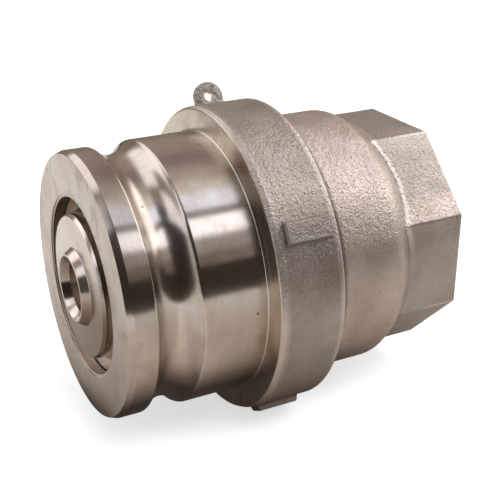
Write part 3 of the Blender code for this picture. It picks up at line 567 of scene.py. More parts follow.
def cast_stainless(name, light, dark, worn_and_lit, grain, depth, speckle):
    """Blasted cast stainless steel: grain, pits, uneven tone, bright rubbed edges, and painted light and
    shade.
    """
    material, tree, shader = new_material(name)
    place = add(tree, "ShaderNodeTexCoord")
    spot = place.outputs["Object"]
    fine = add(tree, "ShaderNodeTexNoise", {"Vector": spot, "Scale": 1.0 / (grain * MM), "Detail": 3.0,
                                            "Roughness": 0.55})
    coarse = add(tree, "ShaderNodeTexNoise", {"Vector": spot, "Scale": 0.4 / (grain * MM), "Detail": 2.0})
    patches = add(tree, "ShaderNodeTexNoise", {"Vector": spot, "Scale": 1.0 / (PATCH_SIZE * MM),
                                               "Detail": 4.0, "Roughness": 0.6})
    pits = add(tree, "ShaderNodeTexVoronoi", {"Vector": spot, "Scale": 0.22 / (grain * MM),
                                              "Randomness": 1.0}, feature="F1")
    pit_mask = add(tree, "ShaderNodeMapRange", {"Value": pits.outputs["Distance"], "From Min": 0.04,
                                                "From Max": 0.16, "To Min": 1.0, "To Max": 0.0})
    tone_mask = add(tree, "ShaderNodeMapRange", {"Value": patches.outputs["Fac"], "From Min": 0.35,
                                                 "From Max": 0.68})
    tone = add(tree, "ShaderNodeMix", {"Factor": tone_mask.outputs["Result"], 6: linear(dark),
                                       7: linear(light)}, data_type="RGBA")
    grained = add(tree, "ShaderNodeAttribute", attribute_name="grained")
    contrast = add(tree, "ShaderNodeMapRange", {"Value": grained.outputs["Fac"], "To Min": 0.06,
                                                "To Max": speckle})
    low = add(tree, "ShaderNodeMath", {0: 1.0, 1: contrast.outputs["Result"]}, operation="SUBTRACT")
    high = add(tree, "ShaderNodeMath", {0: 1.0, 1: contrast.outputs["Result"]}, operation="ADD")
    speck = add(tree, "ShaderNodeMapRange", {"Value": fine.outputs["Fac"], "From Min": 0.30,
                                             "From Max": 0.70, "To Min": low.outputs[0],
                                             "To Max": high.outputs[0]})
    # Painted light: a value at each point brightens or darkens the grain's tone
    brightness = add(tree, "ShaderNodeAttribute", attribute_name="brightness")
    speck = add(tree, "ShaderNodeMath", {0: speck.outputs["Result"], 1: brightness.outputs["Fac"]},
                operation="MULTIPLY")
    speckled = add(tree, "ShaderNodeVectorMath", {0: tone.outputs[2], "Scale": speck.outputs[0]},
                   operation="SCALE")
    # Rubbed edges come up lighter; on the octagon's lip the lighter tone is a painted highlight
    wear_and_highlight = add(tree, "ShaderNodeAttribute", attribute_name="wear_and_highlight")
    worn_and_lit_tone = add(tree, "ShaderNodeMix", {"Factor": wear_and_highlight.outputs["Fac"], 6: speckled.outputs[0],
                                            7: linear(worn_and_lit)}, data_type="RGBA")
    # Soil and painted shade darken corners and the foot of steps
    crevice = add(tree, "ShaderNodeAttribute", attribute_name="crevice")
    soiled_and_shaded = add(tree, "ShaderNodeMix", {"Factor": crevice.outputs["Fac"], 6: worn_and_lit_tone.outputs[2],
                                         7: linear(SOIL_AND_SHADE)}, data_type="RGBA")
    tree.links.new(soiled_and_shaded.outputs[2], shader.inputs["Base Color"])
    rough = add(tree, "ShaderNodeMapRange", {"Value": wear_and_highlight.outputs["Fac"], "To Min": 0.47,
                                             "To Max": 0.30})
    tree.links.new(rough.outputs["Result"], shader.inputs["Roughness"])
    fall = add(tree, "ShaderNodeMath", {0: pit_mask.outputs["Result"], 1: -0.9}, operation="MULTIPLY")
    rise = add(tree, "ShaderNodeMath", {0: fine.outputs["Fac"], 1: coarse.outputs["Fac"]},
               operation="ADD")
    height = add(tree, "ShaderNodeMath", {0: rise.outputs[0], 1: fall.outputs[0]}, operation="ADD")
    strength = add(tree, "ShaderNodeMapRange", {"Value": grained.outputs["Fac"], "To Min": 0.22,
                                                "To Max": 0.90})
    bump = add(tree, "ShaderNodeBump", {"Height": height.outputs[0], "Strength": strength.outputs["Result"],
                                        "Distance": depth * MM})
    tree.links.new(bump.outputs[0], shader.inputs["Normal"])
    shader.inputs["Metallic"].default_value = 1.0
    return material


cast_steel = cast_stainless("blasted_cast_stainless", "#D6CAC2", "#BAADA2", worn_and_lit="#E6DED6",
                            grain=GRAIN_SIZE, depth=0.55, speckle=0.24)
lug_steel = cast_stainless("coarse_cast_stainless", "#BBB1A8", "#9E948B", worn_and_lit="#E6DFD8",
                           grain=LUG_GRAIN_SIZE, depth=0.6, speckle=0.55)
print("cast finishes:", cast_steel.name, lug_steel.name)

# %% [markdown]
# ## Rubber, bearing polymer and spring steel
#
# The seals are moulded black rubber, whose surface is dull with a faint bloom. The bushes are a
# turned bearing polymer, pale and satin. The spring, the circlip, the lock washer and the split pin
# are cold-drawn stainless. All of them need no more than a soft change of tone and a fine unevenness,
# so one function makes them all.

# %% Small finishes
def plain_finish(name, light, dark, roughness, metallic, mark_size, depth, ior=1.5):
    """A finish with a soft change of tone and a fine uneven surface."""
    material, tree, shader = new_material(name)
    place = add(tree, "ShaderNodeTexCoord")
    marks = add(tree, "ShaderNodeTexNoise", {"Vector": place.outputs["Object"],
                                             "Scale": 1.0 / (mark_size * MM), "Detail": 4.0})
    tone_mask = add(tree, "ShaderNodeMapRange", {"Value": marks.outputs["Fac"], "From Min": 0.35,
                                                 "From Max": 0.65})
    tone = add(tree, "ShaderNodeMix", {"Factor": tone_mask.outputs["Result"], 6: linear(dark),
                                       7: linear(light)}, data_type="RGBA")
    tree.links.new(tone.outputs[2], shader.inputs["Base Color"])
    rough = add(tree, "ShaderNodeMapRange", {"Value": marks.outputs["Fac"], "To Min": roughness - 0.06,
                                             "To Max": roughness + 0.06})
    tree.links.new(rough.outputs["Result"], shader.inputs["Roughness"])
    bump = add(tree, "ShaderNodeBump", {"Height": marks.outputs["Fac"], "Strength": 0.4,
                                        "Distance": depth * MM})
    tree.links.new(bump.outputs[0], shader.inputs["Normal"])
    shader.inputs["Metallic"].default_value = metallic
    shader.inputs["IOR"].default_value = ior
    return material


seal_rubber = plain_finish("moulded_black_rubber", "#1E1C1B", "#121110", roughness=0.55, metallic=0.0,
                           mark_size=0.8, depth=0.02, ior=1.52)
bush_polymer = plain_finish("turned_bearing_polymer", "#DCD4C4", "#CFC5B2", roughness=0.42, metallic=0.0,
                            mark_size=1.5, depth=0.01, ior=1.49)
spring_steel = plain_finish("drawn_spring_stainless", "#B4AFA8", "#938D86", roughness=0.28, metallic=1.0,
                            mark_size=0.9, depth=0.01)
print("small finishes:", seal_rubber.name, bush_polymer.name, spring_steel.name)

# %% [markdown]
# ## Meshes round the axis
#
# Nearly every piece here is a ring: a closed outline of stations and radii, carried round the axis.
# A helper rounds the corners of an outline with small arcs, since a real edge is never perfectly
# sharp and the small arc is what catches the light. Another carries the outline round, and can bend
# each point by a rule, which is how the octagon, the pads and the threads come from the same grid.

# %% Outline helpers
def rounded(corners, steps=5):
    """Turn corners (station, radius, fillet) of a closed outline into small arcs."""
    points = []
    for index, corner in enumerate(corners):
        here = Vector(corner[:2])
        if len(corner) < 3:
            points.append(tuple(here))
            continue
        back = Vector(corners[index - 1][:2]) - here
        ahead = Vector(corners[(index + 1) % len(corners)][:2]) - here
        half = back.angle(ahead) / 2.0
        reach = min(corner[2] / math.tan(half), 0.49 * back.length, 0.49 * ahead.length)
        fillet = reach * math.tan(half)
        centre = here + (back.normalized() + ahead.normalized()).normalized() * fillet / math.sin(half)
        first = here + back.normalized() * reach - centre
        sweep = first.angle_signed(here + ahead.normalized() * reach - centre)
        for step in range(steps + 1):
            points.append(tuple(centre + Matrix.Rotation(-sweep * step / steps, 2) @ first))
    return points


print("a rounded corner has", len(rounded([(0.0, 0.0), (0.0, 1.0, 0.2), (1.0, 1.0)])) - 2, "points")


def arc(station, radius, size, start, end, steps):
    """Points on an arc about (station, radius), from start to end in degrees."""
    angles = [math.radians(start + (end - start) * step / steps) for step in range(steps + 1)]
    return [(station + size * math.cos(a), radius + size * math.sin(a)) for a in angles]


def at(station, radius, angle):
    """The place in metres of a station, radius and angle (counted from the near side upwards)."""
    return (
        (FRONT_X + station) * MM,
        -radius * math.cos(angle) * MM,
        (AXIS_Z + radius * math.sin(angle)) * MM,
    )


# %% Making a mesh an object
# Two faces that meet at more than this many degrees keep a sharp edge between them
SHARP_ANGLE = 28.0


def skin_loops(shape, loops, closed=False):
    """Join loops of points by faces. A closed skin comes back to its start, an open one gets ends."""
    for here, there in zip(loops, loops[1:] + loops[:1] if closed else loops[1:]):
        for k in range(len(here)):
            m = (k + 1) % len(here)
            shape.faces.new((here[k], here[m], there[m], there[k]))
    if not closed:
        shape.faces.new(loops[0])
        shape.faces.new(list(reversed(loops[-1])))


def finish_mesh(name, shape, sharp=SHARP_ANGLE):
    """Close a bmesh into a smooth-shaded object with its faces pointing out."""
    bmesh.ops.recalc_face_normals(shape, faces=shape.faces)
    if shape.calc_volume(signed=True) < 0.0:
        bmesh.ops.reverse_faces(shape, faces=shape.faces)
    mesh = bpy.data.meshes.new(name)
    shape.to_mesh(mesh)
    shape.free()
    mesh.shade_smooth()
    mesh.set_sharp_from_angle(angle=math.radians(sharp))
    made = bpy.data.objects.new(name, mesh)
    bpy.context.scene.collection.objects.link(made)
    return made


print("edges are sharp from", SHARP_ANGLE, "degrees")

# %% Carrying an outline round
ROUND_STEPS = 192


def even_turns(steps):
    """Angles in even steps round the axis."""
    return [2.0 * math.pi * step / steps for step in range(steps)]


def carried_round(name, outline, angles=None, bend=None, sharp=SHARP_ANGLE):
    """Carry a closed outline round the axis. bend(index, station, radius, angle) may move a point."""
    on_axis = outline[0][1] == 0.0 and outline[-1][1] == 0.0
    shape = bmesh.new()
    middle = list(enumerate(outline))
    if on_axis:
        ends = [shape.verts.new(at(point[0], 0.0, 0.0)) for point in (outline[0], outline[-1])]
        middle = middle[1:-1]
    rings = []
    for angle in angles or even_turns(ROUND_STEPS):
        ring = []
        for index, (station, radius) in middle:
            place = bend(index, station, radius, angle) if bend else (station, radius)
            ring.append(shape.verts.new(at(*place, angle)))
        rings.append(ring)
    for here, there in zip(rings, rings[1:] + rings[:1]):
        for k in range(len(here) - 1):
            shape.faces.new((here[k], here[k + 1], there[k + 1], there[k]))
        if on_axis:
            shape.faces.new((ends[0], here[0], there[0]))
            shape.faces.new((ends[1], there[-1], here[-1]))
        else:
            shape.faces.new((here[-1], here[0], there[0], there[-1]))
    return finish_mesh(name, shape, sharp)


def dress(piece, material, body, slot, *nodes):
    """Give a piece its finish and its body, and let it stand for its CAD nodes."""
    piece.data.materials.append(material)
    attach(piece, body)
    if nodes:
        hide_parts(*nodes)
    print(piece.name, len(piece.data.polygons), "faces")


def set_marks(piece, name, values):
    """Store one number for each point of the mesh, which the finish reads by name."""
    marks = piece.data.attributes.new(name, "FLOAT", "POINT")
    marks.data.foreach_set("value", values)


def even_marks(piece, **values):
    """Give each named mark one value all over a piece."""
    for name, value in values.items():
        set_marks(piece, name, [value] * len(piece.data.vertices))


# The two bodies that the joint moves against each other
BODY = "coupling_body"
POPPET = "poppet_assembly"
print("bodies:", BODY, POPPET)

# %% [markdown]
# ## Nose
#
# The nose is the showpiece: a rim, a deep round groove for the cam arms of the mating half, and a
# plain cylinder up to the collar. Its outline is drawn with the same sizes as the solid model, with
# finer arcs. The rim's front edge has a long lead-in, and the groove's shoulders are softly broken,
# because a sharp one would cut the cams. A thin bright bead shows where the nose meets the collar.

# %% Nose outline
NOSE_RADIUS = 59.7
RIM_RADIUS = 59.3
OPENING_RADIUS = 39.3
MOUTH_RADIUS = 39.4
MOUTH_BREAK = 0.7
BEAD_SIZE = 0.55
BEAD_GAP = 0.03
LIP = 5.0
GROOVE_STATION = 22.2
GROOVE_ARC = 12.2
GROOVE_FLOOR = 54.5
POCKET_RADIUS = 47.0
POCKET_REAR = 21.7
CIRCLIP_GROOVE_FRONT = 17.65
CIRCLIP_GROOVE_REAR = 19.7
CIRCLIP_GROOVE_RADIUS = 48.5
CAVITY_RADIUS = 49.0
COLLAR_FRONT = 61.7
SEAL_GROOVE_FRONT = 64.3
SEAL_GROOVE_REAR = 68.1
SEAL_GROOVE_FLOOR = 56.2
SPIGOT_REAR = 70.7
NOSE_REAR = 84.7
NOSE_THREAD_RADIUS = 57.2
NOSE_CHAMFER = 1.2
# The rim's front edge is a long lead-in
LEAD_IN_DEPTH = 1.1
LEAD_IN_REAR = 3.0


def nose_outline():
    """The nose's section, from the front edge of the opening round the outside and back inside."""
    centre = GROOVE_FLOOR + GROOVE_ARC
    front_end = 180.0 + math.degrees(math.asin((centre - RIM_RADIUS) / GROOVE_ARC))
    rear_end = 360.0 - math.degrees(math.asin((centre - NOSE_RADIUS) / GROOVE_ARC))
    # The arc stops a few degrees before each shoulder, whose fillet takes its place there
    trim = 3.0
    groove = arc(GROOVE_STATION, centre, GROOVE_ARC, front_end + trim, rear_end - trim, 30)
    edge_in = arc(GROOVE_STATION, centre, GROOVE_ARC, front_end, front_end, 1)[0]
    edge_out = arc(GROOVE_STATION, centre, GROOVE_ARC, rear_end, rear_end, 1)[0]
    corners = [
        (0.0, MOUTH_RADIUS + MOUTH_BREAK, 0.25),
        (0.0, RIM_RADIUS - LEAD_IN_DEPTH, 0.35),
        (LEAD_IN_REAR, RIM_RADIUS, 0.8),
        (edge_in[0], edge_in[1], 1.7),
    ]
    front = rounded(corners + [groove[2]], 6)[:-1]
    behind = rounded([groove[-3], (edge_out[0], edge_out[1], 2.2), (COLLAR_FRONT, NOSE_RADIUS)], 8)[1:-1]
    cylinder = [(station, NOSE_RADIUS) for station in (40.0, 50.0, 60.0)]
    bead_end = COLLAR_FRONT - BEAD_GAP
    bead = arc(bead_end - BEAD_SIZE, NOSE_RADIUS, BEAD_SIZE, 180.0, 90.0, 6)
    spigot = [
        (bead_end, NOSE_RADIUS + BEAD_SIZE), (bead_end, NOSE_RADIUS), (SEAL_GROOVE_FRONT, NOSE_RADIUS),
        (SEAL_GROOVE_FRONT, SEAL_GROOVE_FLOOR), (SEAL_GROOVE_REAR, SEAL_GROOVE_FLOOR),
        (SEAL_GROOVE_REAR, NOSE_RADIUS), (SPIGOT_REAR, NOSE_RADIUS), (SPIGOT_REAR, NOSE_THREAD_RADIUS),
        (NOSE_REAR - NOSE_CHAMFER, NOSE_THREAD_RADIUS), (NOSE_REAR, NOSE_THREAD_RADIUS - NOSE_CHAMFER),
    ]
    inside = [
        (NOSE_REAR, CAVITY_RADIUS), (POCKET_REAR, CAVITY_RADIUS), (POCKET_REAR, POCKET_RADIUS),
        (CIRCLIP_GROOVE_REAR, POCKET_RADIUS), (CIRCLIP_GROOVE_REAR, CIRCLIP_GROOVE_RADIUS),
        (CIRCLIP_GROOVE_FRONT, CIRCLIP_GROOVE_RADIUS), (CIRCLIP_GROOVE_FRONT, POCKET_RADIUS),
        (LIP, POCKET_RADIUS), (LIP, MOUTH_RADIUS), (MOUTH_BREAK, MOUTH_RADIUS),
    ]
    return front + groove[2:-2] + behind + cylinder + bead + spigot + inside


print("the nose's outline has", len(nose_outline()), "points")

# %% [markdown]
# ## Finishes of the nose
#
# One turned piece still has several finishes: the rim is rubbed most in use, the front face keeps
# the lines of dried drops, the opening is turned more roughly and painted paler, as painted light
# in its shade, and the bead is bright. The mesh has one material for each, and every face picks
# one by its station and radius.

# %% Nose
nose = carried_round("nose_turned", nose_outline())
dress(nose, nose_steel, BODY, "machined_stainless", "nose_body")


def face_place(face):
    """The station and the radius of a face's centre, in millimetres."""
    centre = face.center
    return centre.x / MM - FRONT_X, math.hypot(centre.y, centre.z - AXIS_Z * MM) / MM


IN_MOUTH, ON_RIM, ON_BEAD, ON_FRONT = 1, 2, 3, 4
RIM_FRONT = 2.2
RIM_REAR = GROOVE_STATION - 8.0
for finish in (bore_steel, rim_steel, bright_steel, front_steel):
    nose.data.materials.append(finish)
for face in nose.data.polygons:
    station, radius = face_place(face)
    if radius < MOUTH_RADIUS + 0.1 and station > MOUTH_BREAK:
        face.material_index = IN_MOUTH
    elif radius > NOSE_RADIUS + 0.02 and station > COLLAR_FRONT - 2.5 * BEAD_SIZE:
        face.material_index = ON_BEAD
    elif radius > RIM_RADIUS - 0.02 and RIM_FRONT < station < RIM_REAR:
        face.material_index = ON_RIM
    elif station < 0.02:
        face.material_index = ON_FRONT
print("finishes of the nose:", len(nose.data.materials))

# %% [markdown]
# ## Seat behind the lip
#
# Behind the nose's lip sits a separate seat ring, and the thin black gasket between them shows as
# a dark seam in the opening. The ring's cone is where the poppet seals.

# %% Seat ring and gasket
SEAT_FRONT = 6.1
SEAT_REAR = 17.5
CONE_FRONT = 12.3
SEAT_RADIUS = 46.7
GASKET_FRONT = 5.3
GASKET_REAR = 5.8
GASKET_BORE = OPENING_RADIUS + 0.9

seat = carried_round("seat_ring_turned", rounded([
    (SEAT_FRONT, OPENING_RADIUS, 0.08),
    (SEAT_FRONT, SEAT_RADIUS, 0.3),
    (SEAT_REAR, SEAT_RADIUS, 0.3),
    (SEAT_REAR, OPENING_RADIUS + SEAT_REAR - CONE_FRONT, 0.4),
    (CONE_FRONT, OPENING_RADIUS, 0.3),
]))
dress(seat, bore_steel, BODY, "machined_stainless", "seat_ring")
gasket = carried_round("seat_gasket_ring", rounded([
    (GASKET_FRONT, GASKET_BORE, 0.15), (GASKET_FRONT, SEAT_RADIUS, 0.15),
    (GASKET_REAR, SEAT_RADIUS, 0.15), (GASKET_REAR, GASKET_BORE, 0.15),
], 3))
dress(gasket, seal_rubber, BODY, "seal_rubber", "seat_gasket")

# %% [markdown]
# ## Casting
#
# One casting makes the collar, the raised pads, the barrel, the shoulder and the octagon. All of
# it is carried round the axis as one grid, whose points are bent by a rule: on the collar the rule
# lifts the pads, and behind the shoulder it pulls the circle out to the octagon's flats. The grid
# follows the line where the shoulder meets each flat, so that line stays clean and curved.
# The lug is a piece of its own mesh, because it stands straight out of the collar.

# %% Casting sizes
BORE_RADIUS = 60.0
COLLAR_RADIUS = 70.3
COLLAR_REAR = 92.0
BARREL_RADIUS = 60.5
BARREL_REAR = 125.0
SHOULDER_REAR = 132.6
SHOULDER_RADIUS = 57.0
HEEL_REAR = 138.6
HEEL_RADIUS = 51.2
OCTAGON_HALF_FLATS = 52.6
OCTAGON_LIP = 0.35
OCTAGON_EDGE = 1.3
REAR_FACE = 164.9
SOCKET_RADIUS = 41.6
SOCKET_FLOOR = 133.9
SOCKET_TAPER = 1.0 / 32.0
MOUTH_CHAMFER = 2.6
BODY_CAVITY_RADIUS = 53.5
BODY_THREAD_RADIUS = 57.5
LEDGE = 91.7
CAVITY_REAR = 118.7
PIPE_PITCH = 25.4 / 8.0
PIPE_THREAD_DEPTH = 2.0
THREAD_FADE = 4.0

PAD_ANGLES = (-60.0, 29.2, 210.0)
PAD_HALF_WIDTH = 4.0
PAD_DRAFT = 0.9
PAD_FRONT = 68.0
PAD_REAR = 86.8
PAD_RADIUS = 73.1
PAD_MARGIN = 2.0
SPIGOT_CLEARANCE = 1.3
print("the casting is", round(REAR_FACE - COLLAR_FRONT, 1), "mm long and has", len(PAD_ANGLES), "pads")


# %% Rules of the casting's surface
def smooth_step(value):
    """0 below 0, 1 above 1, with soft ends."""
    t = min(max(value, 0.0), 1.0)
    return t * t * (3.0 - 2.0 * t)


def thread_wave(turns):
    """The depth of a V thread, from 0 at the crest to 1 at the root, with small flats."""
    return min(max(1.16 * (1.0 - abs(2.0 * (turns % 1.0) - 1.0)) - 0.08, 0.0), 1.0)


OCTAGON_SHARPNESS = 260.0
SHOULDER_START = BARREL_REAR - 14.0


def octagon_radius(angle):
    """The octagon's radius at an angle: a polygon whose corners are rounded by a high power."""
    total = sum(max(math.cos(angle - k * math.pi / 4.0), 0.0) ** OCTAGON_SHARPNESS for k in range(8))
    return OCTAGON_HALF_FLATS / total ** (1.0 / OCTAGON_SHARPNESS)


shoulder_line = rounded([
    (SHOULDER_START, BARREL_RADIUS),
    (BARREL_REAR + 2.0, BARREL_RADIUS, 9.0),
    (SHOULDER_REAR, SHOULDER_RADIUS, 6.0),
    (HEEL_REAR, HEEL_RADIUS),
], 8)
shoulder_stations = [point[0] for point in shoulder_line]
shoulder_radii = [point[1] for point in shoulder_line]


def shoulder_radius(station):
    """The rounded shoulder's radius at a station."""
    return float(np.interp(station, shoulder_stations, shoulder_radii))


def crease_station(angle):
    """Where the shoulder has sunk to just under the octagon's surface."""
    sunk = octagon_radius(angle) - OCTAGON_LIP
    return float(np.interp(-sunk, [-radius for radius in shoulder_radii], shoulder_stations))


print("the shoulder meets a flat at", round(crease_station(0.0), 1), "and a corner at",
      round(crease_station(math.pi / 8.0), 1))

# %% [markdown]
# ## The casting's grid
#
# The grid's rows run round the axis. A row is either a plain station and radius, or a share of the
# way along a stretch whose ends change with the angle, such as the octagon's flats. Rows lie close
# together where the surface turns: at the pads' edges, at the octagon's crease and in the thread.

# %% Rows of the grid
SHOULDER_ROWS = 22
FLAT_ROWS = 14
MOUTH_ROWS = 5
EDGE_ROWS = 5
LIP_REACH = 1.6
ROWS_PER_THREAD = 12.0
PAD_STEP = 3.0
# Rows at these distances inside each end of a pad
NEAR_PAD_END = (-1.6, -0.9, -0.6, -0.3, 0.0, 0.3, 0.6)

front_edge = rounded([
    (COLLAR_FRONT + 0.2, BORE_RADIUS),
    (COLLAR_FRONT, BORE_RADIUS + 0.2, 0.06),
    (COLLAR_FRONT, COLLAR_RADIUS - 1.0, 0.9),
    (COLLAR_FRONT + 2.2, COLLAR_RADIUS, 1.8),
    (COLLAR_FRONT + 4.0, COLLAR_RADIUS),
], 4)[:-1]
pad_stations = sorted(
    [PAD_FRONT + inside for inside in NEAR_PAD_END] + [PAD_REAR - inside for inside in NEAR_PAD_END]
    + [PAD_FRONT + PAD_STEP * step for step in range(1, 6)]
)
collar_rows = [(station, COLLAR_RADIUS) for station in pad_stations]
behind_collar = rounded([
    (PAD_REAR + PAD_MARGIN, COLLAR_RADIUS),
    (COLLAR_REAR, COLLAR_RADIUS, 1.2),
    (COLLAR_REAR, BARREL_RADIUS, 2.2),
    (COLLAR_REAR + 3.5, BARREL_RADIUS),
], 5)
behind_collar += [(COLLAR_REAR + step, BARREL_RADIUS) for step in (4.5, 5.5, 6.5, 7.5, 8.5, 9.5, 12.0, 19.0)]
shoulder_rows = [("shoulder", (step + 1) / SHOULDER_ROWS) for step in range(SHOULDER_ROWS)]
# A lip row has its distance behind the crease and how far it lies under the octagon's surface
lip_rows = [("lip", 0.25, 0.28), ("lip", 0.60, 0.08), ("lip", 1.10, 0.0), ("lip", LIP_REACH, 0.0)]
flat_rows = [("flat", (step + 1) / FLAT_ROWS) for step in range(FLAT_ROWS)]
edge_rows = [("edge", math.radians(90.0 * step / EDGE_ROWS)) for step in range(1, EDGE_ROWS + 1)]
mouth_radius = SOCKET_RADIUS + MOUTH_CHAMFER
face_rows = [("face", step / MOUTH_ROWS) for step in range(1, MOUTH_ROWS + 1)]
thread_rows = []
station = REAR_FACE - 0.25
while station > SOCKET_FLOOR + 0.2:
    thread_rows.append(("thread", station))
    station -= PIPE_PITCH / ROWS_PER_THREAD
inside_rows = rounded([
    (SOCKET_FLOOR, SOCKET_RADIUS - (REAR_FACE - SOCKET_FLOOR) * SOCKET_TAPER, 1.2),
    (CAVITY_REAR, BODY_CAVITY_RADIUS, 4.0),
    (LEDGE, BODY_CAVITY_RADIUS, 0.4),
    (LEDGE, BODY_THREAD_RADIUS, 0.4),
    (SPIGOT_REAR + SPIGOT_CLEARANCE, BODY_THREAD_RADIUS),
    (SPIGOT_REAR + SPIGOT_CLEARANCE, BORE_RADIUS),
], 4)
round_rows = front_edge + collar_rows + behind_collar
rows = (
    [("round",) + point for point in round_rows] + shoulder_rows + lip_rows + flat_rows + edge_rows
    + face_rows + thread_rows + [("round",) + point for point in inside_rows]
)
print("the casting's grid has", len(rows), "rows")


# %% Bending the grid
def near_pads(station, radius):
    """Whether a row of the collar lies where a pad may lift it."""
    return radius == COLLAR_RADIUS and PAD_FRONT - PAD_MARGIN < station < PAD_REAR + PAD_MARGIN


def pad_rise(station, angle):
    """How far the pads lift the collar's surface, how rubbed its edge is, and how much soil and painted
    shade lie at its foot.
    """
    best = (0.0, 0.0, 0.0)
    along = min(station - PAD_FRONT, PAD_REAR - station)
    for pad in PAD_ANGLES:
        turn = (angle - math.radians(pad) + math.pi) % (2.0 * math.pi) - math.pi
        if abs(turn) > 0.3:
            continue
        inside = min(PAD_HALF_WIDTH - abs(COLLAR_RADIUS * math.sin(turn)), along)
        share = smooth_step((inside + PAD_DRAFT) / PAD_DRAFT)
        rise = share * (PAD_RADIUS / math.cos(turn) - COLLAR_RADIUS)
        # Wear is strongest just inside the pad's edge, and soil and painted shade just outside its foot
        rim = math.exp(-((inside - 0.1) / 0.45) ** 2)
        foot = 0.60 * math.exp(-((inside + 0.95) / 0.38) ** 2)
        best = max(best, (rise, 0.25 * rim, foot))
        if share == 0.0 and foot > best[2]:
            best = (0.0, 0.0, foot)
    return best


def bend_casting(index, station, radius, angle):
    """The place of a grid point, which its row says: the outline's own station and radius don't count."""
    kind, *values = rows[index]
    if kind == "round":
        station, radius = values
        if near_pads(station, radius):
            radius += pad_rise(station, angle)[0]
        return station, radius
    flat = octagon_radius(angle)
    crease = crease_station(angle)
    flat_end = REAR_FACE - OCTAGON_EDGE
    if kind == "shoulder":
        # The power draws the rows together towards the crease
        share = 1.0 - (1.0 - values[0]) ** 1.4
        station = SHOULDER_START + (crease - SHOULDER_START) * share
        return station, shoulder_radius(station)
    if kind == "lip":
        return crease + values[0], flat - values[1]
    if kind == "flat":
        return crease + LIP_REACH + (flat_end - crease - LIP_REACH) * values[0], flat
    if kind == "edge":
        drop = OCTAGON_EDGE * (1.0 - math.cos(values[0]))
        return flat_end + OCTAGON_EDGE * math.sin(values[0]), flat - drop
    if kind == "face":
        outer = flat - OCTAGON_EDGE
        return REAR_FACE, outer + (mouth_radius - outer) * values[0]
    station = values[0]
    crest = SOCKET_RADIUS - (REAR_FACE - MOUTH_CHAMFER - station) * SOCKET_TAPER
    fade = smooth_step((station - SOCKET_FLOOR) / THREAD_FADE)
    pitches = station / PIPE_PITCH - angle / (2.0 * math.pi)
    cut = crest + fade * PIPE_THREAD_DEPTH * thread_wave(pitches)
    return station, max(cut, SOCKET_RADIUS + station - (REAR_FACE - MOUTH_CHAMFER))


pad_top = pad_rise((PAD_FRONT + PAD_REAR) / 2.0, math.radians(PAD_ANGLES[0]))[0]
print("a pad stands", round(pad_top, 2), "mm above the collar")

# %% Turns of the grid
EVEN_TURNS = 168
# Distances in degrees, to both sides of a corner and of a pad's edge, at which the grid has a turn
NEAR_CORNER = (0.0, 0.15, 0.4, 0.75, 1.3, 2.2)
NEAR_PAD = (-0.2, 0.2, 0.6, 1.0)
CLOSEST_TURNS = 0.1


def both_sides(middle, distances):
    """Turns in degrees at each distance to both sides of a middle."""
    return {round((middle + side * off) % 360.0, 3) for off in distances for side in (1, -1)}


turns = {round(360.0 * step / EVEN_TURNS, 3) for step in range(EVEN_TURNS)}
for corner in range(8):
    turns |= both_sides(22.5 + 45.0 * corner, NEAR_CORNER)
pad_edge = math.degrees(math.asin(PAD_HALF_WIDTH / COLLAR_RADIUS))
for pad in PAD_ANGLES:
    turns |= both_sides(pad, [pad_edge + off for off in NEAR_PAD])
ordered = sorted(turns)
angles = [
    math.radians(turn)
    for turn, after in zip(ordered, ordered[1:] + [360.0])
    if after - turn > CLOSEST_TURNS
]
print("the casting's grid has", len(angles), "turns")

# %% [markdown]
# ## Marks on the casting
#
# Where a casting is rubbed or gets soil follows from how it is used: hands and tools rub the edges
# and the octagon's corners, and soil stays at the foot of each step, which also gets painted shade.
# So these marks are worked out from each point's row and angle. The grain shows most on the upper
# near side, where light grazes it. The octagon's lip has a painted highlight on its upper side, and
# the collar's low near side, the near upper corner and the machined faces have painted shade.
# Painted light makes each part brighter or darker at given angles, for how the light falls on it.

# %% Marks on the casting
# Rows that lie less than this far inside the collar's surface count as its edge
COLLAR_EDGE = 1.3


def hump(value, centre, width):
    """1 at the centre, falling softly to 0 within about twice the width."""
    return math.exp(-((value - centre) / width) ** 2)


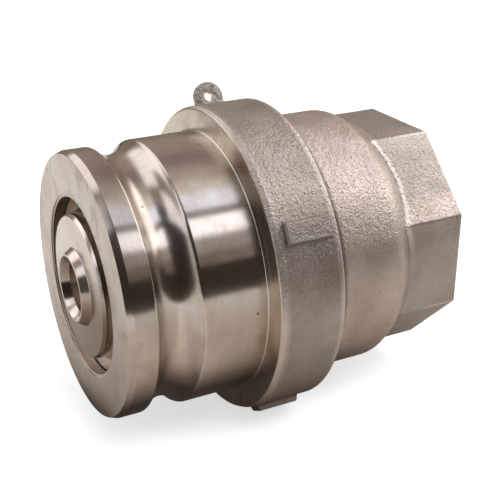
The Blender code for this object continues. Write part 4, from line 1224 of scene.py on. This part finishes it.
def casting_marks():
    """Rubbed edges and painted highlight, soil and painted shade, grain, painted light, and painted shade on
    machined faces, each as a list in the order of the mesh's points.
    """
    wear_and_highlight, crevice, grained, brightness, painted_shade = [], [], [], [], []
    # Each hump has its centre and its width in degrees
    for angle in angles:
        turn = math.degrees(angle)
        upper = smooth_step((math.sin(angle) - 0.10) / 0.35)
        # On the far top the grain is weaker and the barrel has a little painted shade
        smooth_and_shaded = smooth_step((turn - 55.0) / 25.0) if turn < 180.0 else 0.0
        # Painted shade on the low near side of the collar
        low_collar_shade = hump(turn, 17.0, 13.0)
        # Painted light: each part is brighter or darker at given angles, for how the light falls on it
        collar_painted_light = 0.74 + 0.32 * hump(turn, 40.0, 7.0) - 0.12 * hump(turn, 26.0, 6.0)
        barrel_painted_light = 1.0 + 0.30 * hump(turn, 40.0, 9.0) - 0.22 * hump(turn, 15.0, 8.0) - 0.10 * smooth_and_shaded
        octagon_painted_light = 0.92 + 0.30 * hump(turn, 27.0, 7.0) if 22.5 < turn < 67.5 else 0.78
        corner = abs(turn % 45.0 - 22.5)
        at_corner = hump(corner, 0.0, 0.55)
        rubbed_corner = 0.0 if abs(turn - 22.5) < 10.0 else at_corner
        for kind, *values in rows:
            rubbed, soiled_and_shaded, light = 0.0, 0.0, barrel_painted_light
            if kind == "round":
                station, radius = values
                on_collar = radius > COLLAR_RADIUS - COLLAR_EDGE
                light = collar_painted_light if on_collar else barrel_painted_light
                if near_pads(station, radius):
                    rise, rubbed, soiled_and_shaded = pad_rise(station, angle)
                if station > COLLAR_REAR - 1.4 and radius > COLLAR_RADIUS - 0.7:
                    rubbed = 0.55
                if on_collar:
                    soiled_and_shaded = max(soiled_and_shaded, 0.22 * low_collar_shade)
                    if station < COLLAR_FRONT + 2.6:
                        rubbed = 0.30
                # Soil and painted shade on the barrel just behind the collar
                elif station > COLLAR_REAR - 0.1:
                    soiled_and_shaded = 0.75 * smooth_step((COLLAR_REAR + 7.8 - station) / 2.2)
            elif kind in ("lip", "flat", "edge"):
                light = octagon_painted_light
            # The lip's lighter tone is a painted highlight, strongest on the upper side
            if kind == "lip":
                rubbed = 0.05 + 0.75 * upper
            elif kind == "shoulder":
                soiled_and_shaded = 0.16 * smooth_step((values[0] - 0.55) / 0.15)
            elif kind == "flat":
                rubbed = 0.7 * rubbed_corner * smooth_step((values[0] - 0.35) / 0.2)
                # Beside the near upper corner the flat gets painted shade in place of wear
                soiled_and_shaded = 0.35 * (at_corner - rubbed_corner)
            elif kind == "edge":
                rubbed = 0.6
            wear_and_highlight.append(rubbed)
            crevice.append(soiled_and_shaded)
            grained.append((0.15 + 0.85 * upper) * (1.0 - 0.6 * smooth_and_shaded))
            brightness.append(light)
            # Painted shade on the machined faces at two angles
            painted_shade.append(0.60 * hump(turn, 60.0, 7.0) + 0.75 * hump(turn, 44.0, 11.0))
    return {"wear_and_highlight": wear_and_highlight, "crevice": crevice, "grained": grained, "brightness": brightness, "painted_shade": painted_shade}


marks = casting_marks()
print("the casting's marks:", ", ".join(marks), "at", len(marks["wear_and_highlight"]), "points")

# %% [markdown]
# ## The casting's mesh
#
# Rows and turns together make the mesh. Its blank outline only gives each row a place in the list,
# because the rule sets every point. The faces that a tool cut, in front, in the bore and in the
# thread, get a turned finish, and the rest stays as cast.

# %% Casting mesh
BLANK_POINT = (0.0, 1.0)
CASTING_SHARP_ANGLE = 40.0

casting = carried_round("body_cast", [BLANK_POINT] * len(rows), angles, bend_casting, CASTING_SHARP_ANGLE)
for mark, values in marks.items():
    set_marks(casting, mark, values)
dress(casting, cast_steel, BODY, "cast_stainless", "body_casting")
casting.data.materials.append(nose_steel)
casting.data.materials.append(face_steel)
CUT_INSIDE, CUT_FRONT = 1, 2
machined = 0
for face in casting.data.polygons:
    station, radius = face_place(face)
    cut_face = station < COLLAR_FRONT + 0.25 and radius < COLLAR_RADIUS - 0.1
    cut_thread = station > SOCKET_FLOOR + 0.5 and radius < SOCKET_RADIUS + MOUTH_CHAMFER + 0.1
    cut_bore = station < LEDGE + 0.3 and radius < BORE_RADIUS + 0.4
    if cut_face or cut_thread or cut_bore:
        face.material_index = CUT_FRONT if cut_face else CUT_INSIDE
        machined += 1
print("machined faces of the casting:", machined)

# %% [markdown]
# ## Chain lug
#
# A thin cast ear for the chain of a dust cap stands on the collar. Its outline is round about the
# hole and runs straight down into the collar, where it flares. It is made as loops about the hole:
# hole, bevel, flat, bevel, rim, on one side and then the other.

# %% Chain lug
LUG_ANGLE = math.radians(120.0)
LUG_STATION = 80.5
LUG_CENTRE = 75.2
LUG_RADIUS = 7.0
LUG_HOLE = 2.2
LUG_HALF_THICKNESS = 2.0
LUG_ROOT = 6.6
LUG_FLARE = 1.6
LUG_FLARE_TOP = 1.8
LUG_FLARE_HEIGHT = 2.6
LUG_HOLE_BEVEL = 0.55
LUG_STEPS = 72
# Each point of a loop: on the outline (True) or at the hole, how far it is set in from there, and
# its side as a share of the half thickness
LUG_SECTIONS = (
    (False, 0.55, -0.72), (False, 0.18, -0.95), (False, -0.35, -1.0),
    (True, 0.7, -1.0), (True, 0.2, -0.93), (True, 0.0, -0.7),
    (True, 0.0, 0.7), (True, 0.2, 0.93), (True, 0.7, 1.0),
    (False, -0.35, 1.0), (False, 0.18, 0.95), (False, 0.55, 0.72),
)
# The points of a loop that lie in the hole, where a chain rubs
RUBBED_POINTS = (0, 1, 10, 11)


def lug_reach(turn):
    """The distance from the hole's centre to the lug's outline; turn 0 points away from the axis."""
    if math.cos(turn) >= 0.0:
        return LUG_RADIUS
    sides = LUG_RADIUS / max(abs(math.sin(turn)), 1e-6)
    return min(sides, LUG_ROOT / abs(math.cos(turn)))


def chain_lug():
    """The lug as loops round its hole, from the hole's edge on one side to the other."""
    shape = bmesh.new()
    loops = []
    for turn in even_turns(LUG_STEPS):
        loop = []
        for outer, inset, side in LUG_SECTIONS:
            reach = lug_reach(turn) - inset if outer else LUG_HOLE + LUG_HOLE_BEVEL - inset
            station = LUG_STATION + reach * math.sin(turn)
            radius = LUG_CENTRE + reach * math.cos(turn)
            flare = LUG_FLARE * smooth_step((COLLAR_RADIUS + LUG_FLARE_TOP - radius) / LUG_FLARE_HEIGHT)
            offset = side * (LUG_HALF_THICKNESS + flare)
            angle = LUG_ANGLE + math.atan2(offset, radius)
            loop.append(shape.verts.new(at(station, math.hypot(radius, offset), angle)))
        loops.append(loop)
    skin_loops(shape, loops, closed=True)
    return finish_mesh("chain_lug", shape, 50.0)


lug = chain_lug()
even_marks(lug, grained=1.0, brightness=1.0)
rubbed = [0.9 if point in RUBBED_POINTS else 0.0 for point in range(len(LUG_SECTIONS))]
set_marks(lug, "wear_and_highlight", rubbed * LUG_STEPS)
dress(lug, lug_steel, BODY, "cast_stainless")

# %% [markdown]
# ## Poppet
#
# The poppet is turned from bar: a flat face, a bright chamfer, a conical flank down to the seat,
# and a hub whose bored pilot socket takes the mating half. The pilot's floor keeps the drill's
# cone. Behind the rim a step takes the seal, and a bore takes the stem.

# %% Poppet head
POPPET_FACE = -0.8
FACE_RADIUS = 31.0
HEAD_RADIUS = 32.2
HEAD_CHAMFER_REAR = 0.5
HEAD_BAND_REAR = 4.0
CONE_START = 12.6
CONE_START_RADIUS = 39.0
CONE_END = 14.1
CONE_END_RADIUS = 40.5
SEAL_STEP_RADIUS = 38.4
HEAD_REAR = 17.6
HUB_FRONT = -4.4
HUB_RIM = 15.2
HUB_FOOT = 17.5
PILOT_RADIUS = 12.7
PILOT_MOUTH = 14.2
PILOT_MOUTH_DEPTH = 3.9
PILOT_FLOOR = 6.6
DRILL_CONE_RADIUS = 3.2
DRILL_CONE_DEPTH = 0.8
STEM_RADIUS = 8.0
STEM_HOLE_FLOOR = 10.1
BORE = STEM_RADIUS + 0.3

poppet = carried_round("poppet_turned", rounded([
    (PILOT_FLOOR + DRILL_CONE_DEPTH, 0.0),
    (PILOT_FLOOR, DRILL_CONE_RADIUS, 0.3),
    (PILOT_FLOOR, PILOT_RADIUS, 0.8),
    (HUB_FRONT + PILOT_MOUTH_DEPTH, PILOT_RADIUS, 0.2),
    (HUB_FRONT, PILOT_MOUTH, 0.12),
    (HUB_FRONT, HUB_RIM, 0.25),
    (POPPET_FACE, HUB_FOOT, 0.6),
    (POPPET_FACE, FACE_RADIUS, 0.12),
    (HEAD_CHAMFER_REAR, HEAD_RADIUS, 0.12),
    (HEAD_BAND_REAR, HEAD_RADIUS, 0.6),
    (CONE_START, CONE_START_RADIUS, 0.2),
    (CONE_END, CONE_END_RADIUS, 0.15),
    (CONE_END, SEAL_STEP_RADIUS, 0.3),
    (HEAD_REAR, SEAL_STEP_RADIUS, 0.3),
    (HEAD_REAR, BORE, 0.3),
    (STEM_HOLE_FLOOR, BORE),
    (STEM_HOLE_FLOOR, 0.0),
], 4))
dress(poppet, poppet_steel, POPPET, "machined_stainless", "poppet_head")

# %% [markdown]
# ## Painted shade on the front faces
#
# Painted shade lies low on the front faces, more on the near side, and high up inside their
# openings. It is one more value at each point, and the turned finish mixes a dark brown in by it.

# %% Painted shade on the front faces
# How far the painted shade's lower side leans towards the near side
SHADE_LEAN = 0.35
# Where the painted shade inside an opening ends low down and how softly it starts there, as shares of the
# opening's radius
SHADE_FOOT = -0.56
SHADE_FADE = 0.51


def front_painted_shade(piece, front, strength, centre, width, opening, opening_shade):
    """Painted shade low on a front face, and high up inside an opening."""
    values = []
    for point in piece.data.vertices:
        station = point.co.x / MM - FRONT_X
        across, up = point.co.y / MM, point.co.z / MM - AXIS_Z
        height = up + SHADE_LEAN * across
        if math.hypot(across, up) < opening + 0.1 and station < LIP + 0.1:
            values.append(opening_shade * smooth_step((height / opening - SHADE_FOOT) / SHADE_FADE))
        elif station < front:
            values.append(strength * smooth_step((centre - height) / width))
        else:
            values.append(0.0)
    set_marks(piece, "painted_shade", values)


front_painted_shade(poppet, front=0.6, strength=0.95, centre=14.0, width=32.0, opening=PILOT_MOUTH, opening_shade=0.55)
front_painted_shade(nose, front=0.1, strength=0.34, centre=-2.0, width=46.0, opening=MOUTH_RADIUS, opening_shade=0.85)
print("painted shade on", poppet.name, "and", nose.name)

# %% [markdown]
# ## Seals
#
# Both seals are O-rings. One closes the poppet on the seat's cone, and one sits in a groove of the
# nose's rear part and closes the joint with the casting. Each is a circle carried round the axis.

# %% Seals
SEAL_STATION = 16.0
SEAL_PITCH = 40.31
BODY_SEAL_STATION = 66.2
BODY_SEAL_PITCH = 58.1
SEAL_SECTION = 1.6
SEAL_POINTS = 24


def seal_ring(name, station, pitch, body, node):
    """A moulded ring of round section, whose last point is one step short of its first."""
    outline = arc(station, pitch, SEAL_SECTION, 0.0, 360.0 - 360.0 / SEAL_POINTS, SEAL_POINTS - 1)
    ring = carried_round(name, outline)
    dress(ring, seal_rubber, body, "seal_rubber", node)


seal_ring("poppet_seal_ring", SEAL_STATION, SEAL_PITCH, POPPET, "poppet_seal")
seal_ring("body_seal_ring", BODY_SEAL_STATION, BODY_SEAL_PITCH, BODY, "body_seal")

# %% [markdown]
# ## Clamp plate and washers
#
# The clamp plate holds the poppet's seal from behind, and its sloped edge clears the seat. Washers
# spread the load of the castle nut and of the spring. They are punched and tumbled, so their outer
# edges are broken a little more than their bores.

# %% Clamp plate and washers
CLAMP_FRONT = 17.9
CLAMP_SLOPE_START = 19.9
CLAMP_REAR = 21.9
CLAMP_RADIUS = 43.2
CLAMP_REAR_RADIUS = 41.2
SMALL_WASHER_RADIUS = 12.8
STOP_WASHER_FRONT = 108.5
STOP_WASHER_REAR = 110.3
SPRING_SEAT_FRONT = 83.1
SPRING_SEAT_REAR = 84.7
SPRING_SEAT_BORE = 14.3
SPRING_SEAT_RADIUS = 22.3
# How much the edges are broken, at the bore and outside
WASHER_BREAKS = (0.2, 0.35)

clamp = carried_round("clamp_plate_turned", rounded([
    (CLAMP_FRONT, BORE, 0.3), (CLAMP_FRONT, CLAMP_RADIUS, 0.3), (CLAMP_SLOPE_START, CLAMP_RADIUS, 0.4),
    (CLAMP_REAR, CLAMP_REAR_RADIUS, 0.4), (CLAMP_REAR, BORE, 0.3),
], 4))
dress(clamp, poppet_steel, POPPET, "machined_stainless", "seal_clamp_plate")


def box_section(front, rear, bore, outer, breaks):
    """The corners of a flat ring's section, from its bore in front round to its bore behind."""
    at_bore, outside = breaks
    return [(front, bore, at_bore), (front, outer, outside), (rear, outer, outside), (rear, bore, at_bore)]


stop_section = box_section(STOP_WASHER_FRONT, STOP_WASHER_REAR, BORE, SMALL_WASHER_RADIUS, WASHER_BREAKS)
stop = carried_round("stop_washer_disc", rounded(stop_section, 4))
dress(stop, bright_steel, POPPET, "bright_stainless", "stop_washer")
spring_seat_section = box_section(SPRING_SEAT_FRONT, SPRING_SEAT_REAR, SPRING_SEAT_BORE,
                                  SPRING_SEAT_RADIUS, WASHER_BREAKS)
spring_washer = carried_round("spring_seat_washer", rounded(spring_seat_section, 4))
dress(spring_washer, bright_steel, BODY, "bright_stainless", "spring_seat")

# %% [markdown]
# ## Circlip and lock washer
#
# Both are strips bent to a ring with a gap. The circlip snaps into its groove behind the seat ring.
# The lock washer's ends stand a little apart along the axis, and that spring keeps the nut tight.

# %% Circlip and lock washer
OPEN_RING_STEPS = 120
STRIP_BREAKS = (0.25, 0.25)
CIRCLIP_FRONT = 17.8
CIRCLIP_REAR = 19.4
CIRCLIP_INNER = 44.6
CIRCLIP_OUTER = 48.2
CIRCLIP_GAP = 24.0
LOCK_WASHER_FRONT = 22.35
LOCK_WASHER_REAR = 23.85
LOCK_WASHER_GAP = 8.0
LOCK_WASHER_RISE = 0.3


def open_ring(name, section, opening, twist, body, node):
    """A split ring with a gap of some degrees: a section carried round, with a rise to its end."""
    shape = bmesh.new()
    sweep = 2.0 * math.pi - math.radians(opening)
    loops = []
    for step in range(OPEN_RING_STEPS + 1):
        angle = sweep * step / OPEN_RING_STEPS
        lift = twist * (step / OPEN_RING_STEPS - 0.5)
        loops.append([shape.verts.new(at(station + lift, radius, angle)) for station, radius in section])
    skin_loops(shape, loops)
    dress(finish_mesh(name, shape), spring_steel, body, "spring_stainless", node)


circlip_section = box_section(CIRCLIP_FRONT, CIRCLIP_REAR, CIRCLIP_INNER, CIRCLIP_OUTER, STRIP_BREAKS)
open_ring("circlip_strip", rounded(circlip_section, 3), CIRCLIP_GAP, 0.0, BODY, "seat_circlip")
lock_section = box_section(LOCK_WASHER_FRONT, LOCK_WASHER_REAR, BORE, SMALL_WASHER_RADIUS, STRIP_BREAKS)
open_ring("lock_washer_split", rounded(lock_section, 3), LOCK_WASHER_GAP, LOCK_WASHER_RISE, POPPET,
          "lock_washer")

# %% [markdown]
# ## Stem
#
# The stem is bar with a rolled thread at each end. Its thread is a true helix, made by the same
# rule as the pipe's. A cross hole near its rear end takes the split pin, and a Boolean cuts it.

# %% Stem outline
STEM_FRONT = 10.4
STEM_REAR = 126.2
STEM_PITCH = 2.0
STEM_THREAD_DEPTH = 1.1
FRONT_THREAD_END = 37.0
REAR_THREAD_START = 104.0
THREAD_RUN_OUT = 2.0
STEM_CHAMFER = 1.0
STEM_STEPS = 48
PIN_STATION = 121.4
PIN_HOLE_RADIUS = 1.7
PIN_HOLE_SIDES = 24


def stem_outline():
    """Points along the stem, close together where it is threaded."""
    stations = [STEM_FRONT, STEM_FRONT + STEM_CHAMFER]
    step = STEM_PITCH / 8.0
    while stations[-1] + step < STEM_REAR - STEM_CHAMFER:
        threaded = stations[-1] < FRONT_THREAD_END or stations[-1] > REAR_THREAD_START
        stations.append(stations[-1] + (step if threaded else 4.0 * step))
    stations += [STEM_REAR - STEM_CHAMFER, STEM_REAR]
    points = [(station, STEM_RADIUS) for station in stations]
    return [(STEM_FRONT, 0.0), (STEM_FRONT, 0.01)] + points + [(STEM_REAR, 0.01), (STEM_REAR, 0.0)]


def bend_stem(index, station, radius, angle):
    """Cut the thread and the end chamfers into the stem."""
    if radius < 1.0:
        return station, radius
    from_end = min(station - STEM_FRONT, STEM_REAR - station, STEM_CHAMFER)
    depth = STEM_THREAD_DEPTH * max(
        smooth_step((FRONT_THREAD_END - station) / THREAD_RUN_OUT),
        smooth_step((station - REAR_THREAD_START) / THREAD_RUN_OUT),
    )
    cut = radius - depth * thread_wave(station / STEM_PITCH - angle / (2.0 * math.pi))
    return station, min(cut, radius - STEM_CHAMFER + from_end)


print("the stem's outline has", len(stem_outline()), "points")


# %% Boolean helpers
def combine(piece, tools, operation):
    """Apply a Boolean with each tool in turn, and remove the tools."""
    for tool in tools:
        modifier = piece.modifiers.new(tool.name, "BOOLEAN")
        modifier.operation = operation
        modifier.object = tool
        modifier.solver = "EXACT"
    bpy.context.view_layer.update()
    evaluated = piece.evaluated_get(bpy.context.evaluated_depsgraph_get())
    mesh = bpy.data.meshes.new_from_object(evaluated)
    piece.modifiers.clear()
    piece.data = mesh
    mesh.shade_smooth()
    mesh.set_sharp_from_angle(angle=math.radians(SHARP_ANGLE))
    for tool in tools:
        bpy.data.objects.remove(tool, do_unlink=True)
    return piece


def bar_tool(name, centre, direction, length, half_width, half_height, sides=0):
    """A bar through a point of the axis: a rectangle in section, or round when sides is given."""
    shape = bmesh.new()
    if sides:
        bmesh.ops.create_cone(shape, cap_ends=True, segments=sides, radius1=half_width, radius2=half_width,
                              depth=length)
    else:
        bmesh.ops.create_cube(shape, size=1.0)
        bmesh.ops.scale(shape, vec=(2.0 * half_width, 2.0 * half_height, length), verts=shape.verts)
    turn = direction.to_track_quat("Z", "X").to_matrix().to_4x4()
    place = Matrix.Translation(centre) @ turn
    bmesh.ops.transform(shape, matrix=Matrix.Scale(MM, 4), verts=shape.verts)
    bmesh.ops.transform(shape, matrix=place, verts=shape.verts)
    return finish_mesh(name, shape)


print("helpers:", combine.__name__, bar_tool.__name__)

# %% Stem
stem = carried_round("stem_bar", stem_outline(), even_turns(STEM_STEPS), bend_stem)
pin_place = Vector(at(PIN_STATION, 0.0, 0.0))
pin_drill = bar_tool("pin_hole", pin_place, Vector((0.0, 1.0, 0.0)), 3.0 * STEM_RADIUS, PIN_HOLE_RADIUS,
                     PIN_HOLE_RADIUS, PIN_HOLE_SIDES)
combine(stem, [pin_drill], "DIFFERENCE")
dress(stem, poppet_steel, POPPET, "machined_stainless", "poppet_stem")

# %% [markdown]
# ## Nuts
#
# The nuts are hexagons whose corners are cut back by a cone, as on any turned nut. The castle nut
# has slots at its rear end, and the split pin through one of them keeps it from working loose.

# %% Nut shape
NUT_HALF_FLATS = 12.0
NUT_SHARPNESS = 220.0
NUT_FACE_RADIUS = 11.4
NUT_CONE_SLOPE = 2.2
NUT_COUNTERSINK = 0.8
# Distances from an end at which the nut's outline has points, close together where the cone cuts
NUT_END_STEPS = (0.0, 0.25, 0.5, 0.8, 1.2, 1.8)
NUT_TURNS = 96
NEAR_NUT_CORNER = (0.4, 1.0, 2.0)


def hexagon_radius(angle):
    """A hexagon with a flat on each side, its corners slightly rounded."""
    total = sum(max(math.cos(angle - k * math.pi / 3.0), 0.0) ** NUT_SHARPNESS for k in range(6))
    return NUT_HALF_FLATS / total ** (1.0 / NUT_SHARPNESS)


def hexagon_nut(name, front, rear):
    """A turned hexagon nut with a countersunk thread hole and corners cut back by a cone."""
    outer = [front + step for step in NUT_END_STEPS]
    outer += [rear - step for step in reversed(NUT_END_STEPS)]
    outline = [(front + NUT_COUNTERSINK, BORE), (front, BORE + NUT_COUNTERSINK)]
    outline += [(station, NUT_HALF_FLATS) for station in outer]
    outline += [(rear, BORE + NUT_COUNTERSINK), (rear - NUT_COUNTERSINK, BORE)]
    turns = {round(360.0 * k / NUT_TURNS, 3) for k in range(NUT_TURNS)}
    for corner in range(6):
        turns |= both_sides(30.0 + 60.0 * corner, NEAR_NUT_CORNER)

    def bend(index, station, radius, angle):
        """Leave the bore as it is, and cut the outside to the hexagon and to the cone."""
        if radius < NUT_HALF_FLATS:
            return station, radius
        from_end = min(station - front, rear - station)
        return station, min(hexagon_radius(angle), NUT_FACE_RADIUS + from_end * NUT_CONE_SLOPE)

    return carried_round(name, outline, [math.radians(turn) for turn in sorted(turns)], bend, 24.0)


print("the nuts are", 2.0 * NUT_HALF_FLATS, "mm across flats")

# %% Nuts
POPPET_NUT_FRONT = 24.3
POPPET_NUT_REAR = 33.3
CASTLE_NUT_FRONT = 110.6
CASTLE_NUT_REAR = 123.2
SLOT_DEPTH = 3.6
SLOT_HALF_WIDTH = 1.7
SLOT_TOOL_HALF = 4.0
SLOT_TOOL_LENGTH = 32.0

poppet_nut = hexagon_nut("poppet_nut_hexagon", POPPET_NUT_FRONT, POPPET_NUT_REAR)
dress(poppet_nut, bright_steel, POPPET, "bright_stainless", "poppet_nut")

castle_nut = hexagon_nut("castle_nut_hexagon", CASTLE_NUT_FRONT, CASTLE_NUT_REAR)
slot_centre = Vector(at(CASTLE_NUT_REAR - SLOT_DEPTH + SLOT_TOOL_HALF, 0.0, 0.0))
slots = []
for number in range(3):
    turn = math.pi * number / 3.0
    direction = Vector((0.0, math.cos(turn), math.sin(turn)))
    slots.append(bar_tool(f"slot_{number}", slot_centre, direction, SLOT_TOOL_LENGTH, SLOT_TOOL_HALF,
                          SLOT_HALF_WIDTH))
combine(castle_nut, slots, "DIFFERENCE")
dress(castle_nut, bright_steel, POPPET, "bright_stainless", "castle_nut")

# %% [markdown]
# ## Pieces of wire
#
# The spring and the split pin are bent from wire, so each is a round section carried along a path.
# At each point of the path the section stands square to the way ahead, and its sides follow on from
# the last section's, so that the wire doesn't twist.

# %% Wire helper
def wire_mesh(name, path, section, sides, flat_between=None):
    """Carry a round section along points in metres; flat_between grinds the ends flat in X."""
    shape = bmesh.new()
    loops = []
    side = None
    for index, point in enumerate(path):
        ahead = (path[min(index + 1, len(path) - 1)] - path[max(index - 1, 0)]).normalized()
        side = side or ahead.orthogonal().normalized()
        side = (side - ahead * side.dot(ahead)).normalized()
        other = ahead.cross(side)
        loop = []
        for k in range(sides):
            turn = 2.0 * math.pi * k / sides
            place = point + (side * math.cos(turn) + other * math.sin(turn)) * section
            if flat_between:
                place.x = min(max(place.x, flat_between[0]), flat_between[1])
            loop.append(shape.verts.new(place))
        loops.append(loop)
    skin_loops(shape, loops)
    return finish_mesh(name, shape, 40.0)


print("helper:", wire_mesh.__name__)

# %% [markdown]
# ## Spring
#
# A compression spring's end turns are closed and ground flat. As the poppet opens, the spring gets
# shorter. Its washer keeps its coils round the stem.

# %% Spring
SPRING_FRONT = 22.2
SPRING_REAR = 82.8
SPRING_RADIUS = 18.5
SPRING_WIRE = 2.0
SPRING_TURNS = 8.0
CLOSED_RISE = 4.05
POINTS_PER_TURN = 40
SPRING_SIDES = 14
# The wire's centre starts a little less than its radius inside the spring's end, so that it is cut
GROUND_SHARE = 0.6


def spring_path():
    """A helix with one closed turn at each end."""
    start = SPRING_FRONT + SPRING_WIRE * GROUND_SHARE
    end = SPRING_REAR - SPRING_WIRE * GROUND_SHARE
    open_rise = (end - start - 2.0 * CLOSED_RISE) / (SPRING_TURNS - 2.0)
    path = []
    for step in range(int(SPRING_TURNS * POINTS_PER_TURN) + 1):
        turn = step / POINTS_PER_TURN
        closed = min(turn, 1.0) + max(turn - (SPRING_TURNS - 1.0), 0.0)
        station = start + CLOSED_RISE * closed + open_rise * (turn - closed)
        path.append(Vector(at(station, SPRING_RADIUS, 2.0 * math.pi * turn + math.pi / 2.0)))
    return path


ground = ((FRONT_X + SPRING_FRONT) * MM, (FRONT_X + SPRING_REAR) * MM)
spring = wire_mesh("spring_coils", spring_path(), SPRING_WIRE * MM, SPRING_SIDES, ground)
dress(spring, spring_steel, BODY, "spring_stainless", "poppet_spring")
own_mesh(spring)

# %% [markdown]
# ## Split pin
#
# A split pin is half-round wire folded to an eye. Pushed through the hole, its legs are bent apart
# behind the nut. A round wire with two parallel legs looks the same at this size.

# %% Split pin
PIN_WIRE = 0.6
PIN_SIDES = 12
PIN_LEG = NUT_HALF_FLATS + 0.9
PIN_EYE = 1.8
PIN_TAIL = 5.0
PIN_HALF_GAP = 0.75
PIN_BEND = 1.4
PIN_LEG_STEPS = 12
PIN_EYE_STEPS = 20


def split_pin_path():
    """Tail, leg, eye, leg and tail of the pin, in the plane across the axis."""
    points = []
    for side in (1.0, -1.0):
        bend = [(side * PIN_HALF_GAP, PIN_LEG - PIN_BEND), (side * (PIN_HALF_GAP + 0.3), PIN_LEG - 0.5),
                (side * (PIN_HALF_GAP + 1.1), PIN_LEG), (side * (PIN_HALF_GAP + PIN_TAIL), PIN_LEG + 0.1)]
        leg_step = (2.0 * PIN_LEG - PIN_BEND) / PIN_LEG_STEPS
        leg = [(side * PIN_HALF_GAP, PIN_LEG - PIN_BEND - k * leg_step) for k in range(1, PIN_LEG_STEPS + 1)]
        half = list(reversed(bend)) + leg
        points.append(half if side > 0.0 else list(reversed(half)))
    eye = []
    for step in range(1, PIN_EYE_STEPS):
        turn = math.radians(66.0 - 312.0 * step / PIN_EYE_STEPS)
        eye.append((PIN_EYE * math.cos(turn), -PIN_LEG - PIN_EYE + PIN_EYE * math.sin(turn)))
    path = points[0] + eye + points[1]
    return [pin_place + Vector((0.0, across * MM, offset * MM)) for offset, across in path]


pin = wire_mesh("split_pin_wire", split_pin_path(), PIN_WIRE * MM, PIN_SIDES)
dress(pin, spring_steel, POPPET, "spring_stainless", "split_pin")

# %% [markdown]
# ## Spider
#
# The spider is a small casting: a rim clamped behind the nose, four arms with soft edges, and a
# hub. It shows through the pipe socket from behind. Hub and rim are carried round the axis, and the
# arms are added with a Boolean so that everything is one solid with clean joints.

# %% Spider
HUB_RADIUS = 14.0
SPIDER_FRONT = 85.0
SPIDER_REAR = 91.4
HUB_GUIDE_FRONT = 80.0
HUB_GUIDE_REAR = 106.4
HUB_BORE = 10.8
RIM_OUTER = 57.2
RIM_INNER = 50.2
FLANGE_RADIUS = 23.5
FLANGE_REAR = 89.5
ARM_HALF = 3.0
ARM_DEPTH = 13.0
ARM_OVERLAP = 2.0
ARM_EDGE = 1.6

spider = carried_round("spider_cast", rounded([
    (HUB_GUIDE_FRONT, HUB_BORE, 0.3), (HUB_GUIDE_FRONT, HUB_RADIUS, 0.6), (SPIDER_FRONT, HUB_RADIUS, 0.4),
    (SPIDER_FRONT, FLANGE_RADIUS, 0.8), (FLANGE_REAR, FLANGE_RADIUS, 1.2), (HUB_GUIDE_REAR, HUB_RADIUS, 0.8),
    (HUB_GUIDE_REAR, HUB_BORE, 0.3),
], 4))
rim = carried_round("spider_rim", rounded([
    (SPIDER_FRONT, RIM_INNER, 0.8), (SPIDER_FRONT, RIM_OUTER, 0.3), (SPIDER_REAR, RIM_OUTER, 0.3),
    (SPIDER_REAR, RIM_INNER, 0.8),
], 4))


def spider_arm(number):
    """One arm: a plate with rounded edges, deep at the hub and shallow at the rim."""
    outline = [
        (SPIDER_FRONT + 1.5, HUB_RADIUS - ARM_OVERLAP), (SPIDER_FRONT + 1.5, RIM_INNER + ARM_OVERLAP),
        (SPIDER_REAR - 0.75, RIM_INNER + ARM_OVERLAP), (SPIDER_FRONT + ARM_DEPTH, HUB_RADIUS + ARM_OVERLAP),
        (SPIDER_FRONT + ARM_DEPTH, HUB_RADIUS - ARM_OVERLAP),
    ]
    shape = bmesh.new()
    face = shape.faces.new([shape.verts.new((x, -ARM_HALF, z)) for x, z in outline])
    grown = bmesh.ops.extrude_face_region(shape, geom=[face])
    moved = [item for item in grown["geom"] if isinstance(item, bmesh.types.BMVert)]
    bmesh.ops.translate(shape, verts=moved, vec=(0.0, 2.0 * ARM_HALF, 0.0))
    bmesh.ops.recalc_face_normals(shape, faces=shape.faces)
    edges = [edge for edge in shape.edges if edge.calc_face_angle(0.0) > 0.3]
    bmesh.ops.bevel(shape, geom=edges, offset=ARM_EDGE, segments=5, profile=0.5, affect="EDGES")
    turn = Matrix.Rotation(math.pi * number / 2.0, 4, "X")
    place = Matrix.Translation((FRONT_X * MM, 0.0, AXIS_Z * MM)) @ turn @ Matrix.Scale(MM, 4)
    bmesh.ops.transform(shape, matrix=place, verts=shape.verts)
    return finish_mesh(f"spider_arm_{number}", shape)


combine(spider, [rim] + [spider_arm(number) for number in range(4)], "UNION")
even_marks(spider, grained=1.0, brightness=1.0)
dress(spider, cast_steel, BODY, "cast_stainless", "spider_guide")

# %% [markdown]
# ## Bushes
#
# The stem slides in two flanged bushes of bearing polymer, one pressed in from each end of the hub.
# They are the same piece turned round, so one outline serves both, with a direction.

# %% Bushes
BUSH_GAP = 0.3
BUSH_LENGTH = 11.0
BUSH_RADIUS = HUB_BORE - BUSH_GAP
BUSH_FLANGE = 1.5

for name, node, flange, direction in (
    ("front_bush_turned", "front_guide_bush", HUB_GUIDE_FRONT - BUSH_GAP, 1.0),
    ("rear_bush_turned", "rear_guide_bush", HUB_GUIDE_REAR + BUSH_GAP, -1.0),
):
    inner_end = flange + direction * BUSH_LENGTH
    outer_end = flange - direction * BUSH_FLANGE
    bush = carried_round(name, rounded([
        (inner_end, BORE, 0.3), (inner_end, BUSH_RADIUS, 0.3), (flange, BUSH_RADIUS, 0.15),
        (flange, SMALL_WASHER_RADIUS, 0.3), (outer_end, SMALL_WASHER_RADIUS, 0.3), (outer_end, BORE, 0.3),
    ], 4))
    dress(bush, bush_polymer, BODY, "bush_polymer", node)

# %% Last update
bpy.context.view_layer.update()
